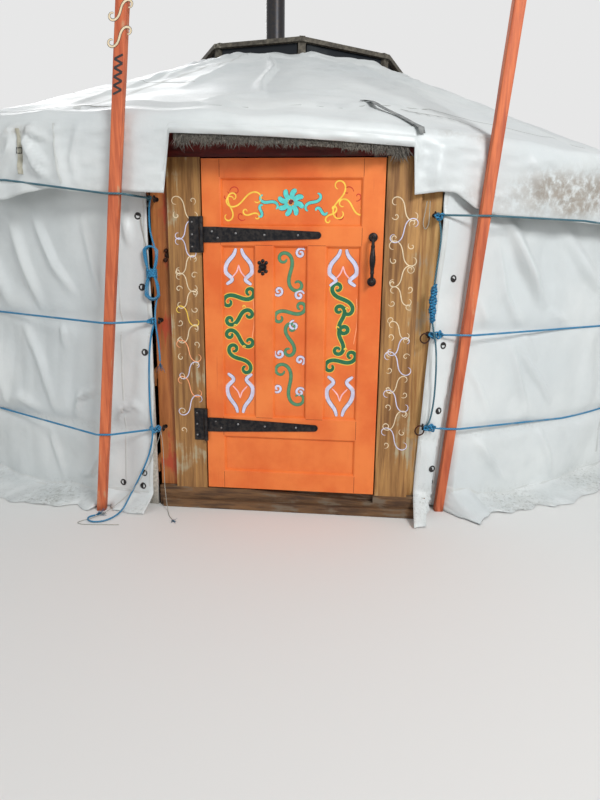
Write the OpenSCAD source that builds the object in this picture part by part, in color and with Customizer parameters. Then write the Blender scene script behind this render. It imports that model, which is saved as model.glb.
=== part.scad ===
// A round felt tent on a lattice wall, with a framed door, an eight-sided
// lantern over its crown and a stove flue.
// Millimetres, +Z up. The origin is the centre of the wall circle at ground
// level, and the door faces -Y.

/* [Wall] */
// Outside radius of the wall cover
wall_r = 2680; // [2500:10:2900]
// Thickness of a cover sheet as modelled
cover_t = 5; // [4:1:8]
// Thickness of the felt
felt_t = 15; // [10:1:25]
// Width of a lattice lath
lath_w = 34; // [24:1:44]
// Thickness of a lattice lath
lath_t = 12; // [9:1:15]
// Laths in each layer from door post to door post
lath_count = 45; // [36:3:54]
// Steps between laths that one lath turns from foot to head
lath_turns = 4; // [3:1:5]
// Thickness of the floor boards
floor_t = 22; // [15:1:30]

/* [Roof] */
// Height of the corner where the roof turns down over the wall
eave_h = 1690; // [1620:5:1750]
// Distance by which the eave stands out from the wall
eave_out = 105; // [95:5:170]
// Height of the roof's top edge at the crown
crown_h = 2505; // [2400:5:2650]
// Depth of the valance that hangs from the eave
valance_drop = 290; // [210:5:310]
// Drop from the eave to the roof sheet's hem over the door
door_hem_drop = 62; // [50:1:75]
// Half the width of the notch that the valance leaves for the door
notch_half = 492; // [470:2:520]
// Angle by which the roof has settled down towards +X
roof_lean = 2.5; // [0:0.5:3]
// Number of roof poles
pole_count = 48; // [36:4:56]
// Width of a roof pole
pole_w = 34; // [28:1:40]
// Depth of a roof pole at the wall
pole_d = 38; // [30:1:44]

/* [Crown] */
// Distance of the crown ring's outside behind the lantern's corners
ring_set = 22; // [10:1:60]
// Radial width of the crown ring
ring_w = 75; // [60:1:90]
// Height of the crown ring
ring_h = 95; // [80:1:120]
// Number of spokes
spoke_count = 8; // [8:1:8]
// Width of a spoke
spoke_w = 34; // [24:1:40]
// Height of a spoke
spoke_h = 45; // [30:1:55]
// Radius of the hub where the spokes meet
hub_r = 110; // [80:5:150]

/* [Lantern] */
// Radius of the lantern's frame to its corners
lantern_r = 862; // [850:1:880]
// Height of the lantern's sides above the crown ring
lantern_h = 96; // [80:1:140]
// Thickness of the lantern's curb
curb_t = 45; // [35:1:60]
// Width of the weathered rim boards
rim_w = 90; // [70:1:110]
// Thickness of the rim boards
rim_t = 28; // [18:1:36]
// Rise of the lantern roof to its apex
lantern_rise = 130; // [80:5:200]
// Thickness of the panes
pane_t = 6; // [4:1:10]

/* [Flue] */
// Outside diameter of the flue pipe
flue_d = 132; // [120:1:160]
// Wall thickness of the flue pipe
flue_t = 3; // [2:0.5:5]
// Angle by which the flue stands to the left of the crown's front
flue_turn = 13.8; // [13:0.1:20]
// Distance of the flue's centre inside the lantern's corners
flue_in = 234; // [215:1:300]
// Height of the flue's open lower end
flue_low = 2290; // [2200:10:2350]
// Height of the top of the flue pipe
flue_top = 3620; // [3300:10:3900]
// Diameter of the rain cap
cap_d = 250; // [200:5:300]

/* [Door] */
// Angle by which the door frame stands turned from the wall circle
door_twist = 6; // [0:0.5:6]
// Distance of the door's face behind the outside of the wall
door_set = 20; // [10:1:30]
// Width of the door leaf
leaf_w = 780; // [760:5:790]
// Drop from the eave to the underside of the door head
head_drop = 108; // [106:2:132]
// Thickness of the door leaf
leaf_t = 44; // [38:1:48]
// Height of the sill
sill_h = 96; // [80:1:110]
// Depth by which the sill is worn away under the leaf's free end
sill_worn = 38; // [0:2:50]
// Gap round the leaf
leaf_gap = 6; // [5:0.5:8]
// Width of the leaf's stile on the hinge side
hinge_stile_w = 78; // [70:1:95]
// Width of the leaf's stile on the handle side
lock_stile_w = 90; // [80:1:100]
// Width of the two upright rails between the tall panels
muntin_w = 75; // [60:1:90]
// Height of the leaf's bottom rail
bottom_rail_h = 83; // [70:1:100]
// Height of the low panel
low_panel_h = 174; // [150:2:190]
// Height of the rail over the low panel
low_rail_h = 92; // [80:1:100]
// Height of the rail over the tall panels
high_rail_h = 77; // [70:1:90]
// Height of the top panel
top_panel_h = 201; // [180:1:205]
// Height of the leaf's top rail
top_rail_h = 76; // [60:1:90]
// Thickness of a door panel
panel_t = 12; // [9:1:18]
// Depth of a panel's face behind the leaf's face
panel_set = 13; // [8:1:18]
// Width of a jamb board
jamb_w = 148; // [130:1:155]
// Thickness of a jamb board
jamb_t = 60; // [50:1:70]
// Width of the post outside each jamb
post_w = 85; // [70:1:90]
// Depth of that post
post_d = 110; // [90:1:120]
// Depth of the post's face behind the door's face
post_set = 30; // [25:1:36]

/* [Ironwork] */
// Length of a strap hinge from its pin
strap_len = 520; // [450:5:560]
// Width of a strap at its root
strap_root_w = 66; // [56:1:70]
// Width of a strap at its tip
strap_tip_w = 30; // [22:1:36]
// Thickness of the strap
strap_t = 5; // [4:0.5:6]
// Rise of the upper strap's centre over the top of the tall panels
strap_high_up = 43; // [34:1:43]
// Rise of the lower strap's centre over the top of the low panel
strap_low_up = 52; // [34:1:58]
// Width of a hinge plate on the jamb
plate_w = 52; // [44:1:60]
// Height of a hinge plate
plate_h = 152; // [140:1:170]
// Outside radius of a hinge knuckle
knuckle_r = 9; // [8:0.5:10]
// Radius of the hinge pin
pin_r = 4; // [3:0.5:5]
// Running clearance of the pin in its knuckle
pin_clear = 0.1; // [0.06:0.01:0.1]
// Length of the pull handle
handle_len = 220; // [190:5:240]
// Distance of the knocker from the leaf's hinge edge
knocker_x = 264; // [250:1:280]
// Drop from the top of the tall panels to the knocker
knocker_drop = 92; // [60:1:120]
// Distance of the handle from the leaf's hinge edge
handle_x = 737; // [725:1:745]
// Drop from the top of the tall panels to the handle's middle
handle_drop = 56; // [20:1:120]

/* [Ropes and props] */
// Diameter of a girth rope
rope_d = 9; // [8:0.5:12]
// Rise of the eave rope over the valance's hem
eave_rope_up = 27; // [20:1:40]
// Height of the middle rope
middle_rope_h = 865; // [850:1:890]
// Height of the lower rope
lower_rope_h = 369; // [350:1:400]
// Rise over the hem of the eye that holds the eave rope on the left post
left_eave_eye_up = 12; // [0:1:16]
// Height of the eye that holds the middle rope on the left post
left_middle_eye_h = 888; // [870:1:900]
// Height of the eye that holds the lower rope on the left post
left_lower_eye_h = 385; // [370:1:400]
// Drop below the hem of the eye that holds the eave rope on the right post
right_eave_eye_drop = 50; // [46:1:70]
// Height of the eye that holds the middle rope on the right post
right_middle_eye_h = 852; // [840:1:870]
// Height of the eye that holds the lower rope on the right post
right_lower_eye_h = 437; // [420:1:450]
// Width of a prop, square
prop_w = 50; // [40:1:56]
// Length of a prop
prop_len = 2760; // [2300:10:3000]
// Sideways lean of the left prop
left_prop_lean = 6.5; // [6:0.1:7]
// Sideways lean of the right prop
right_prop_lean = 4.2; // [4:0.1:5]
// Distance of a prop's foot behind the place where it rests on the hem
prop_foot_in = 62; // [40:1:80]
// Place of the left prop's foot to the side
left_foot_x = -890; // [-910:5:-870]
// Place of the right prop's foot to the side
right_foot_x = 712; // [700:2:724]
// Diameter of the iron eyes, across the middle of the bar
eye_d = 24; // [22:1:28]
// Thickness of an eye's bar
eye_bar = 7; // [6:0.5:9]
// Length of an eye's shank in front of the post
eye_shank = 18; // [14:1:22]
// Distance of an eye from the outer edge of its post
eye_in = 30; // [24:1:40]
// Diameter of the knot at a rope's end
knot_d = 20; // [18:1:24]
// Diameter of the free cords of rope
cord_d = 8; // [7:0.5:9]
// Diameter of the thin white cord
thin_cord_d = 3; // [3:0.5:4]

/* [Hidden] */
$fn = 48;

// Clearance between pieces that rest against each other
seat = 0.3;
// Size that reaches past the whole tent
far = 4000;

eave_r = wall_r + eave_out;
valance_h = eave_h - valance_drop;
door_hem_h = eave_h - door_hem_drop;
ring_r = lantern_r - ring_set;
door_y = wall_r - door_set;
wall_cover_in = wall_r - cover_t;
felt_r = wall_cover_in - seat;
felt_in = felt_r - felt_t;
lattice_out = felt_in - seat;
// The two layers of laths bite into each other by this much
lath_bite = 1;
lattice_mid = lattice_out - lath_t;
lattice_in = lattice_mid - lath_t + lath_bite;

// Roof section: heights on the sloping line of the sheet's outer face
cover_top_r = lantern_r + 8;
slope = atan((crown_h - eave_h) / (eave_r - cover_top_r));
function roof_z(r) = eave_h + (eave_r - r) * tan(slope);
function under(t) = t / cos(slope);
felt_top_drop = under(cover_t + seat);
felt_low_drop = under(cover_t + seat + felt_t);
pole_top_drop = under(cover_t + felt_t + 2 * seat);
pole_low_drop = under(cover_t + felt_t + 2 * seat + pole_d);
// The poles' feet stand out past the lattice by this much
pole_foot_out = 6;
wall_top = roof_z(lattice_out + pole_foot_out) - pole_low_drop - seat;
valance_in = eave_r - cover_t;

// Crown ring, set under the roof's top edge
ring_top = roof_z(ring_r) - pole_top_drop;
ring_low = ring_top - ring_h;
ring_in = ring_r - ring_w;
spoke_low = ring_low + 20;
spoke_top = spoke_low + spoke_h;

// Lantern heights
curb_low = ring_top + seat;
curb_top = curb_low + lantern_h;
rim_top = curb_top + rim_t;
side_count = 8;
side_turn = 360 / side_count;

// Door frame, in its own axes: x along the door, y into the tent, z up
frame_in = leaf_w / 2 + leaf_gap;
jamb_out = frame_in + jamb_w;
post_out = jamb_out + post_w;
leaf_low = sill_h + leaf_gap;
head_low = eave_h - head_drop;
leaf_h = head_low - leaf_gap - leaf_low;
pin_x = -leaf_w / 2 - leaf_gap / 2;
pin_y = -knuckle_r - 1;
panel_w = (leaf_w - hinge_stile_w - lock_stile_w - 2 * muntin_w) / 3;
low_panel_z = leaf_low + bottom_rail_h;
tall_panel_z = low_panel_z + low_panel_h + low_rail_h;
top_panel_z = leaf_low + leaf_h - top_rail_h - top_panel_h;
tall_panel_top = top_panel_z - high_rail_h;
tall_panel_h = tall_panel_top - tall_panel_z;
strap_high_z = tall_panel_top + strap_high_up;
strap_low_z = low_panel_z + low_panel_h + strap_low_up;
knocker_z = tall_panel_top - knocker_drop;
handle_z = tall_panel_top - handle_drop;
inner_left = -leaf_w / 2 + hinge_stile_w;
inner_right = leaf_w / 2 - lock_stile_w;

// Wall layers stop at the door posts: at the left one's front corner and at
// the right one's back corner
door_cut_l = post_out * cos(door_twist) - post_set * sin(door_twist) + 1;
door_cut_r = post_out * cos(door_twist) + (post_set + post_d) * sin(door_twist) + 1;
wall_start = -90 + asin(door_cut_r / felt_in);
wall_sweep = 270 - asin(door_cut_l / lattice_in) - wall_start;

// Distance into the tent, in the door's axes, of a point of the wall circle
function door_depth(x, r) =
  (door_y - sqrt(r * r - x * x)) * cos(door_twist) + x * sin(door_twist);

module ring_arc(r_in, r_out, z_low, z_high, start, sweep) {
  rotate([0, 0, start])
    rotate_extrude(angle = sweep, $fn = 180)
      translate([r_in, z_low])
        square([r_out - r_in, z_high - z_low]);
}

module settled() {
  translate([0, 0, eave_h])
    rotate([0, roof_lean, 0])
      translate([0, 0, -eave_h])
        children();
}

module at_door() {
  translate([0, -door_y, 0])
    rotate([0, 0, -door_twist])
      children();
}

// Everything below the settled line of the wall's top
module below_wall_top(drop) {
  settled()
    translate([-far, -far, wall_top - drop - 2 * far])
      cube([2 * far, 2 * far, 2 * far]);
}

module door_gap(half_left, half_right) {
  translate([-half_left, -far, -10])
    cube([half_left + half_right, far, far]);
}

module rod(from, to, d) {
  span = to - from;
  reach = norm(span);
  translate(from)
    rotate([0, acos(span[2] / reach), atan2(span[1], span[0])])
      cylinder(d = d, h = reach, $fn = 24);
}

// Floor
module floor() {
  color("tan")
    difference() {
      cylinder(r = lattice_in - 6, h = floor_t, $fn = 180);
      at_door()
        translate([-far, -far, -1])
          cube([2 * far, far + post_set + post_d + seat, floor_t + 2]);
    }
}

// Lattice wall: two layers of laths that lean opposite ways. A panel starts and
// ends where laths cross, so that none of its laths is left loose
lath_step = wall_sweep / lath_count;
half_turn = lath_turns * lath_step / 2;
lath_mid_z = wall_top / 2;
lath_lean = atan(lath_mid_z / (lattice_mid * sin(half_turn)));
panel_count = 6;
panel_steps = lath_count / panel_count;
panel_sweep = panel_steps * lath_step;
// Height over the wall's top up to which pieces are made before they are cut
spare_h = 250;
// Depth of the blank that a lath's curved faces are cut from
lath_blank = 190;
// Shift of the laths off the panels' ends, in steps
lath_shift = 0.46;
// Reach of a lath to both sides of its place, in steps
lath_reach = ceil(0.8 * lath_turns);

module lath_layer(r_in, r_out, way, panel) {
  from = floor(panel * panel_steps) - lath_reach;
  to = ceil((panel + 1) * panel_steps) + lath_reach;
  joint_gap = 0.01;
  intersection() {
    ring_arc(r_in, r_out, 0, wall_top + spare_h,
             wall_start + panel * panel_sweep, panel_sweep - joint_gap);
    union() {
      for (i = [from : to])
        rotate([0, 0, wall_start + (i + lath_shift) * lath_step])
          translate([lattice_mid - lath_blank / 5, 0, lath_mid_z])
            rotate([way * lath_lean, 0, 0])
              cube([lath_blank, 3 * wall_top, lath_w], center = true);
    }
  }
}

module lattice_panel(index) {
  color("peru")
    intersection() {
      union() {
        lath_layer(lattice_in, lattice_mid + lath_bite, 1, index);
        lath_layer(lattice_mid, lattice_out, -1, index);
      }
      below_wall_top(0);
    }
}

// Roof poles and crown
module roof_poles() {
  butt = lattice_out + pole_foot_out;
  tip = ring_r + seat;
  color("peru")
    settled()
      for (i = [0 : pole_count - 1])
        rotate([0, 0, -90 + i * 360 / pole_count])
          rotate([90, 0, 0])
            translate([0, 0, -pole_w / 2])
              linear_extrude(pole_w)
                polygon([
                  [tip, roof_z(tip) - pole_top_drop],
                  [butt, roof_z(butt) - pole_top_drop],
                  [butt, roof_z(butt) - pole_low_drop],
                  [tip, roof_z(tip) - pole_low_drop + 8]
                ]);
}

module crown_ring() {
  color("saddlebrown")
    settled()
      ring_arc(ring_in, ring_r, ring_low, ring_top, 0, 360);
}

module crown_hub() {
  color("saddlebrown")
    settled()
      translate([0, 0, spoke_low - 5])
        cylinder(r = hub_r, h = spoke_h + 10);
}

module crown_spokes() {
  color("peru")
    settled()
      for (i = [0 : spoke_count - 1])
        rotate([0, 0, i * 360 / spoke_count])
          translate([hub_r + seat, -spoke_w / 2, spoke_low])
            cube([ring_in - hub_r - 2 * seat - 0.4, spoke_w, spoke_h]);
}

// Lantern
module octagon(r) {
  circle(r = r, $fn = side_count);
}

module lantern_curb() {
  post = curb_t + 6;
  color("dimgray")
    settled() {
      translate([0, 0, curb_low])
        linear_extrude(lantern_h / 4)
          difference() {
            octagon(lantern_r);
            octagon(lantern_r - curb_t);
          }
      for (i = [0 : side_count - 1])
        rotate([0, 0, i * side_turn])
          translate([lantern_r - post, -post / 2, curb_low])
            cube([post - 8, post, lantern_h - seat]);
    }
}

module lantern_side_panes() {
  apothem = lantern_r * cos(side_turn / 2);
  half = lantern_r * sin(side_turn / 2);
  color([0.1, 0.12, 0.14])
    settled()
      for (i = [0 : side_count - 1])
        rotate([0, 0, (i + 0.5) * side_turn])
          translate([apothem - 22, -half + 42, curb_low + lantern_h / 4 + seat])
            cube([pane_t, 2 * half - 84, lantern_h * 3 / 4 - 2 * seat]);
}

module lantern_rim() {
  color("gray")
    settled()
      translate([0, 0, curb_top])
        linear_extrude(rim_t)
          difference() {
            octagon(lantern_r + 18);
            octagon(lantern_r + 18 - rim_w);
          }
}

rib_r = lantern_r + 18 - 30;
rib_w = 40;
rib_h = 30;
rib_slope = atan(lantern_rise / rib_r);
apex_r = 55;

module lantern_ribs() {
  color("gray")
    settled() {
      for (i = [0 : side_count - 1])
        rotate([0, 0, i * side_turn])
          rotate([90, 0, 0])
            translate([0, 0, -rib_w / 2])
              linear_extrude(rib_w)
                polygon([
                  [rib_r, rim_top],
                  [rib_r, rim_top + 12],
                  [0, rim_top + lantern_rise],
                  [0, rim_top + lantern_rise - rib_h],
                  [rib_r - rim_w + 30, rim_top]
                ]);
      translate([0, 0, rim_top + lantern_rise - rib_h - 10])
        cylinder(r = apex_r, h = rib_h + 22, $fn = side_count);
    }
}

// Bay of the lantern roof that holds the metal plate for the flue
flue_bay = 5;

module roof_bay(margin, thick) {
  edge = rib_r - 24;
  inset = rib_w / 2 + margin;
  points = [
    [edge * cos(side_turn / 2), -edge * sin(side_turn / 2)],
    [edge * cos(side_turn / 2), edge * sin(side_turn / 2)],
    [0, 0]
  ];
  intersection() {
    linear_extrude(far)
      difference() {
        polygon(points);
        for (turn = [-1, 1])
          rotate([0, 0, turn * side_turn / 2])
            translate([0, -inset])
              square([far, 2 * inset]);
        circle(r = apex_r + margin);
      }
    pane_slope(thick);
  }
}

// A slab on the slope of one bay, whose outer edge rests on the rim
module pane_slope(thick) {
  run = (rib_r - 24) * cos(side_turn / 2);
  fall = (lantern_rise - 15) / (rib_r * cos(side_turn / 2));
  low = rim_top + seat;
  spare = 10;
  rotate([90, 0, 0])
    translate([0, 0, -far / 2])
      linear_extrude(far)
        polygon([
          [run + spare, low - spare * fall],
          [0, low + run * fall],
          [0, low + run * fall + thick],
          [run + spare, low - spare * fall + thick]
        ]);
}

module lantern_roof_panes() {
  color([0.2, 0.24, 0.26, 0.6])
    settled()
      for (i = [0 : side_count - 1])
        if (i != flue_bay)
          rotate([0, 0, (i + 0.5) * side_turn])
            roof_bay(1, pane_t);
}

module flue_plate() {
  color("rosybrown")
    difference() {
      settled()
        rotate([0, 0, (flue_bay + 0.5) * side_turn])
          roof_bay(1, pane_t);
      translate([flue_x, flue_y, 0])
        cylinder(r = flue_d / 2 + seat, h = far);
    }
}

// Flue
flue_x = -(lantern_r - flue_in) * sin(flue_turn);
flue_y = -(lantern_r - flue_in) * cos(flue_turn);

module flue_pipe() {
  joint_h = 2960;
  joint_step = 500;
  color([0.22, 0.22, 0.24])
    translate([flue_x, flue_y, 0])
      difference() {
        union() {
          translate([0, 0, flue_low])
            cylinder(d = flue_d, h = flue_top - flue_low);
          for (z = [joint_h, joint_h + joint_step])
            translate([0, 0, z])
              cylinder(d = flue_d + 6, h = 40);
          translate([0, 0, flue_low])
            cylinder(d = flue_d + 10, h = 60);
        }
        translate([0, 0, flue_low - 1])
          cylinder(d = flue_d - 2 * flue_t, h = far);
      }
}

module flue_cowl() {
  leg_h = 90;
  color([0.2, 0.2, 0.22])
    translate([flue_x, flue_y, flue_top]) {
      for (i = [0 : 2])
        rotate([0, 0, 90 + i * 120])
          translate([flue_d / 2 + seat, -10, -50])
            cube([4, 20, 50 + leg_h]);
      translate([0, 0, leg_h - 6])
        cylinder(d1 = cap_d, d2 = 30, h = 70);
    }
}

// Felt
module wall_felt() {
  pieces = 16;
  step = wall_sweep / pieces;
  color("gainsboro")
    intersection() {
      union() {
        for (i = [0 : pieces - 1])
          ring_arc(felt_in, felt_r, 0, wall_top + spare_h,
                   wall_start + i * step, step - 0.01);
      }
      below_wall_top(0);
    }
}

felt_edge_r = valance_in - seat;
felt_hole_r = cover_top_r + 2;

module roof_felt() {
  gores = 16;
  step = 360 / gores;
  color("gainsboro")
    settled()
      for (i = [0 : gores - 1])
        rotate([0, 0, -90 - step / 2 + i * step])
          rotate_extrude(angle = step - 0.01, $fn = 180)
            polygon([
              [felt_hole_r, roof_z(felt_hole_r) - felt_top_drop],
              [felt_edge_r, roof_z(felt_edge_r) - felt_top_drop],
              [felt_edge_r, roof_z(felt_edge_r) - felt_low_drop],
              [felt_hole_r, roof_z(felt_hole_r) - felt_low_drop]
            ]);
}

fringe_t = 17;
fringe_half = asin((notch_half - 4) / felt_edge_r);

module felt_fringe() {
  top = roof_z(felt_edge_r) - felt_low_drop - seat;
  color("dimgray")
    settled()
      ring_arc(felt_edge_r - fringe_t, felt_edge_r, head_low + 22, top,
               -90 - fringe_half, 2 * fringe_half);
}

// Covers
module wall_sheet(start, sweep) {
  intersection() {
    ring_arc(wall_cover_in, wall_r, 3, wall_top + spare_h, start, sweep);
    below_wall_top(2);
  }
}

// The left sheet ends beside its post, the right one laps over its post
left_cover_gap = 18;
cover_lap = 12;

module wall_cover_left() {
  color("whitesmoke")
    difference() {
      wall_sheet(-270.01, 180);
      door_gap(post_out + left_cover_gap, 0);
    }
}

module wall_cover_right() {
  lap_top = wall_top - 40;
  lap_reach = door_depth(door_cut_r, felt_r) - seat;
  lap_front = post_set - cover_t - seat;
  color("whitesmoke") {
    difference() {
      wall_sheet(-90, 179.97);
      door_gap(0, door_cut_r);
    }
    at_door() {
      translate([post_out + seat, lap_front, 3])
        cube([cover_t, lap_reach - lap_front, lap_top]);
      translate([post_out - cover_lap, lap_front, sill_h + seat])
        cube([cover_lap + seat + 1, cover_t, lap_top - sill_h]);
    }
  }
}

module roof_cover() {
  inner_drop = under(cover_t);
  color("white")
    settled()
      difference() {
        rotate_extrude($fn = 180)
          polygon([
            [cover_top_r, roof_z(cover_top_r)],
            [eave_r, eave_h],
            [eave_r, valance_h],
            [valance_in, valance_h],
            [valance_in, roof_z(valance_in) - inner_drop],
            [cover_top_r, roof_z(cover_top_r) - inner_drop]
          ]);
        translate([-notch_half, -far, valance_h - 50])
          cube([2 * notch_half, far, door_hem_h - valance_h + 50]);
      }
}

// Door frame
module door_sill() {
  nose = 22;
  worn_in = 34;
  color("saddlebrown")
    at_door() {
      difference() {
        translate([-post_out, 0, 0])
          cube([2 * post_out, post_set + post_d, sill_h]);
        translate([0, worn_in, 0])
          rotate([90, 0, 0])
            linear_extrude(2 * worn_in)
              polygon([
                [-leaf_w / 4, sill_h + 1],
                [-leaf_w / 4, sill_h],
                [leaf_w / 2, sill_h - sill_worn],
                [leaf_w / 2, sill_h + 1]
              ]);
      }
      translate([-post_out + 20, -nose, 0])
        cube([2 * post_out - 40, nose + 1, sill_h * 0.42]);
    }
}

module jamb(side) {
  left = side < 0 ? -jamb_out : frame_in;
  translate([left, 0, sill_h + seat])
    cube([jamb_w - seat, jamb_t, head_low - sill_h - 2 * seat]);
}

module left_jamb() {
  color("peru") at_door() jamb(-1);
}

module right_jamb() {
  color("peru") at_door() jamb(1);
}

module frame_post(side) {
  left = side < 0 ? -post_out : jamb_out;
  intersection() {
    at_door()
      translate([left, post_set, sill_h + seat])
        cube([post_w, post_d, wall_top]);
    below_wall_top(6);
  }
}

module left_post() {
  color("chocolate") frame_post(-1);
}

module right_post() {
  color("goldenrod") frame_post(1);
}

module door_head() {
  intersection() {
    color("maroon")
      at_door()
        translate([-jamb_out + seat, 5, head_low])
          cube([2 * (jamb_out - seat), 85, wall_top - head_low + 60]);
    below_wall_top(4);
  }
}

// Three laths behind the leaf that it closes against
module door_stop() {
  stop_w = 26;
  stop_t = 18;
  stop_low = sill_h + seat;
  stop_top = head_low - seat;
  color("saddlebrown")
    at_door()
      translate([0, leaf_t + 5, 0]) {
        for (left = [-frame_in, frame_in - stop_w])
          translate([left, 0, stop_low])
            cube([stop_w, stop_t, stop_top - stop_w - seat - stop_low]);
        translate([-frame_in, 0, stop_top - stop_w])
          cube([2 * frame_in, stop_t, stop_w]);
      }
}

// Hinges
knuckle_gap = 0.5;

module hinge_plate(z) {
  ear = (plate_h - strap_root_w) / 2 - knuckle_gap;
  color([0.1, 0.1, 0.11])
    at_door()
      translate([pin_x, 0, z]) {
        translate([-plate_w - 4, -4, -plate_h / 2])
          cube([plate_w - knuckle_r, 4, plate_h]);
        for (low = [-plate_h / 2, plate_h / 2 - ear])
          translate([0, pin_y, low]) {
            cylinder(r = knuckle_r, h = ear);
            translate([-knuckle_r - 6, knuckle_r - 3, 0])
              cube([knuckle_r + 6, 4, ear]);
          }
        translate([0, pin_y, -plate_h / 2])
          cylinder(r = pin_r, h = plate_h);
      }
}

module upper_hinge_plate() {
  hinge_plate(strap_high_z);
}

module lower_hinge_plate() {
  hinge_plate(strap_low_z);
}

module hinge_strap(z) {
  color([0.1, 0.1, 0.11])
    at_door()
      translate([pin_x, 0, z])
        difference() {
          union() {
            translate([0, pin_y, -strap_root_w / 2])
              cylinder(r = knuckle_r, h = strap_root_w);
            rotate([90, 0, 0])
              linear_extrude(strap_t)
                union() {
                  polygon([
                    [leaf_gap / 2 - 2, -strap_root_w / 2],
                    [60, -strap_root_w / 2],
                    [strap_len - strap_tip_w / 2, -strap_tip_w / 2],
                    [strap_len - strap_tip_w / 2, strap_tip_w / 2],
                    [60, strap_root_w / 2],
                    [leaf_gap / 2 - 2, strap_root_w / 2]
                  ]);
                  translate([strap_len - strap_tip_w / 2, 0])
                    circle(d = strap_tip_w);
                }
            translate([0, -strap_t - 1.5, -strap_root_w / 2])
              cube([knuckle_r + 4, strap_t, strap_root_w]);
          }
          translate([0, pin_y, -strap_root_w])
            cylinder(r = pin_r + pin_clear, h = 2 * strap_root_w);
        }
}

module upper_hinge_strap() {
  hinge_strap(strap_high_z);
}

module lower_hinge_strap() {
  hinge_strap(strap_low_z);
}

// Door leaf
module panel_hole(x, z, w, h, grow) {
  translate([x - grow, z - grow])
    square([w + 2 * grow, h + 2 * grow]);
}

module panel_holes(grow) {
  panel_hole(inner_left, low_panel_z, inner_right - inner_left, low_panel_h, grow);
  for (i = [0 : 2])
    panel_hole(inner_left + i * (panel_w + muntin_w), tall_panel_z, panel_w,
               tall_panel_h, grow);
  panel_hole(inner_left, top_panel_z, inner_right - inner_left, top_panel_h, grow);
}

module door_leaf() {
  color([0.91, 0.45, 0.2])
    at_door()
      translate([0, leaf_t, 0])
        rotate([90, 0, 0])
          linear_extrude(leaf_t)
            difference() {
              translate([-leaf_w / 2, leaf_low])
                square([leaf_w, leaf_h]);
              panel_holes(0);
            }
}

module door_panels() {
  color([0.9, 0.48, 0.24])
    at_door()
      translate([0, panel_set + panel_t, 0])
        rotate([90, 0, 0])
          linear_extrude(panel_t)
            panel_holes(-seat);
}

// Pull handle on two round roses
module door_handle() {
  bar_r = 7;
  reach = 42;
  x = -leaf_w / 2 + handle_x;
  half = handle_len / 2 - 18;
  color([0.1, 0.1, 0.11])
    at_door()
      translate([x, 0, handle_z]) {
        for (z = [-half, half])
          translate([0, -seat, z])
            rotate([90, 0, 0]) {
              cylinder(d = 36, h = 6);
              cylinder(r = bar_r, h = reach);
            }
        for (z = [-half, half])
          translate([0, -reach, z])
            sphere(r = bar_r + 2);
        translate([0, -reach, -half])
          cylinder(r = bar_r, h = 2 * half);
      }
}

// Small cast knocker on the left muntin
module door_latch() {
  x = -leaf_w / 2 + knocker_x;
  color([0.1, 0.08, 0.07])
    at_door()
      translate([x, -seat, knocker_z])
        rotate([90, 0, 0]) {
          cylinder(d = 34, h = 7);
          translate([0, 0, 7])
            cylinder(d1 = 24, d2 = 14, h = 9);
        }
}

// Ropes
// A rope lies on the cover with twice the seat, because its circle is tilted
rope_r = rope_d / 2 + 2 * seat;
eave_rope_h = valance_h + eave_rope_up;
left_eave_eye_h = valance_h + left_eave_eye_up;
right_eave_eye_h = valance_h - right_eave_eye_drop;
eave_rope_tilt = 0.6;
middle_rope_tilt = 0.9;
eye_reach = eye_shank + (eye_bar + eye_d) / 2;

function door_point(x, y, z) = [
  x * cos(door_twist) + y * sin(door_twist),
  y * cos(door_twist) - x * sin(door_twist) - door_y,
  z
];

// Middle of the eye on a post; side is -1 for the left one and 1 for the right
function eye_point(side, z) =
  door_point(side * (post_out - eye_in), post_set - seat - eye_reach, z);

function leaned(p, turn) =
  [p[0] * cos(turn) + p[2] * sin(turn), p[1], p[2] * cos(turn) - p[0] * sin(turn)];

// Point of a circle round the tent that is tilted and then leans with the roof
function on_girth(r, z, tilt, lean, angle) =
  leaned(leaned([r * cos(angle), r * sin(angle), 0], tilt) + [0, 0, z - eave_h], lean)
  + [0, 0, eave_h];

// Angle at which a rope leaves its circle to reach the point p outside it
function leave_angle(p, r, middle_x, side) =
  atan2(p[1], p[0] - middle_x) + side * acos(r / norm([p[0] - middle_x, p[1]]));

// Distance from an eye's middle at which a knot touches the eye, for a rope
// that comes in at an angle with the given sine
function knot_back(swing) =
  let (touch = (knot_d + eye_bar) / 2 + seat, half = eye_d / 2)
    half * swing + sqrt(touch * touch - half * half * (1 - swing * swing));

function knot_point(from, eye) =
  let (way = (eye - from) / norm(eye - from),
       swing = way[0] * sin(door_twist) + way[1] * cos(door_twist))
    eye - knot_back(abs(swing)) * way;

// Height at which a rope crosses a prop: that of its eye, and by a share that of
// its circle
function cross_height(r, z, tilt, lean, side, eye_h, share) =
  eye_h + share * (on_girth(r, z, tilt, lean, -90 + side * 35)[2] - eye_h);

function end_angle(r, z, lean, side, cross_h) =
  leave_angle(prop_front(side, side, cross_h), r, (z - eave_h) * sin(lean), side);

// One end of a rope: from its circle over the front of a prop to its eye
module rope_end(r, z, tilt, lean, side, eye_h, share) {
  cross_h = cross_height(r, z, tilt, lean, side, eye_h, share);
  outer = prop_front(side, side, cross_h);
  inner = prop_front(side, -side, cross_h);
  leave = on_girth(r, z, tilt, lean, end_angle(r, z, lean, side, cross_h));
  knot = knot_point(inner, eye_point(side, eye_h));
  along = (outer - leave) / norm(outer - leave);
  rod(leave + seat * along, outer, rope_d);
  rod(outer, inner, rope_d);
  rod(inner, knot, rope_d);
  for (corner = [outer, inner])
    translate(corner)
      sphere(d = rope_d + 1.4, $fn = 24);
  translate(knot)
    sphere(d = knot_d, $fn = 32);
}

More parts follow.
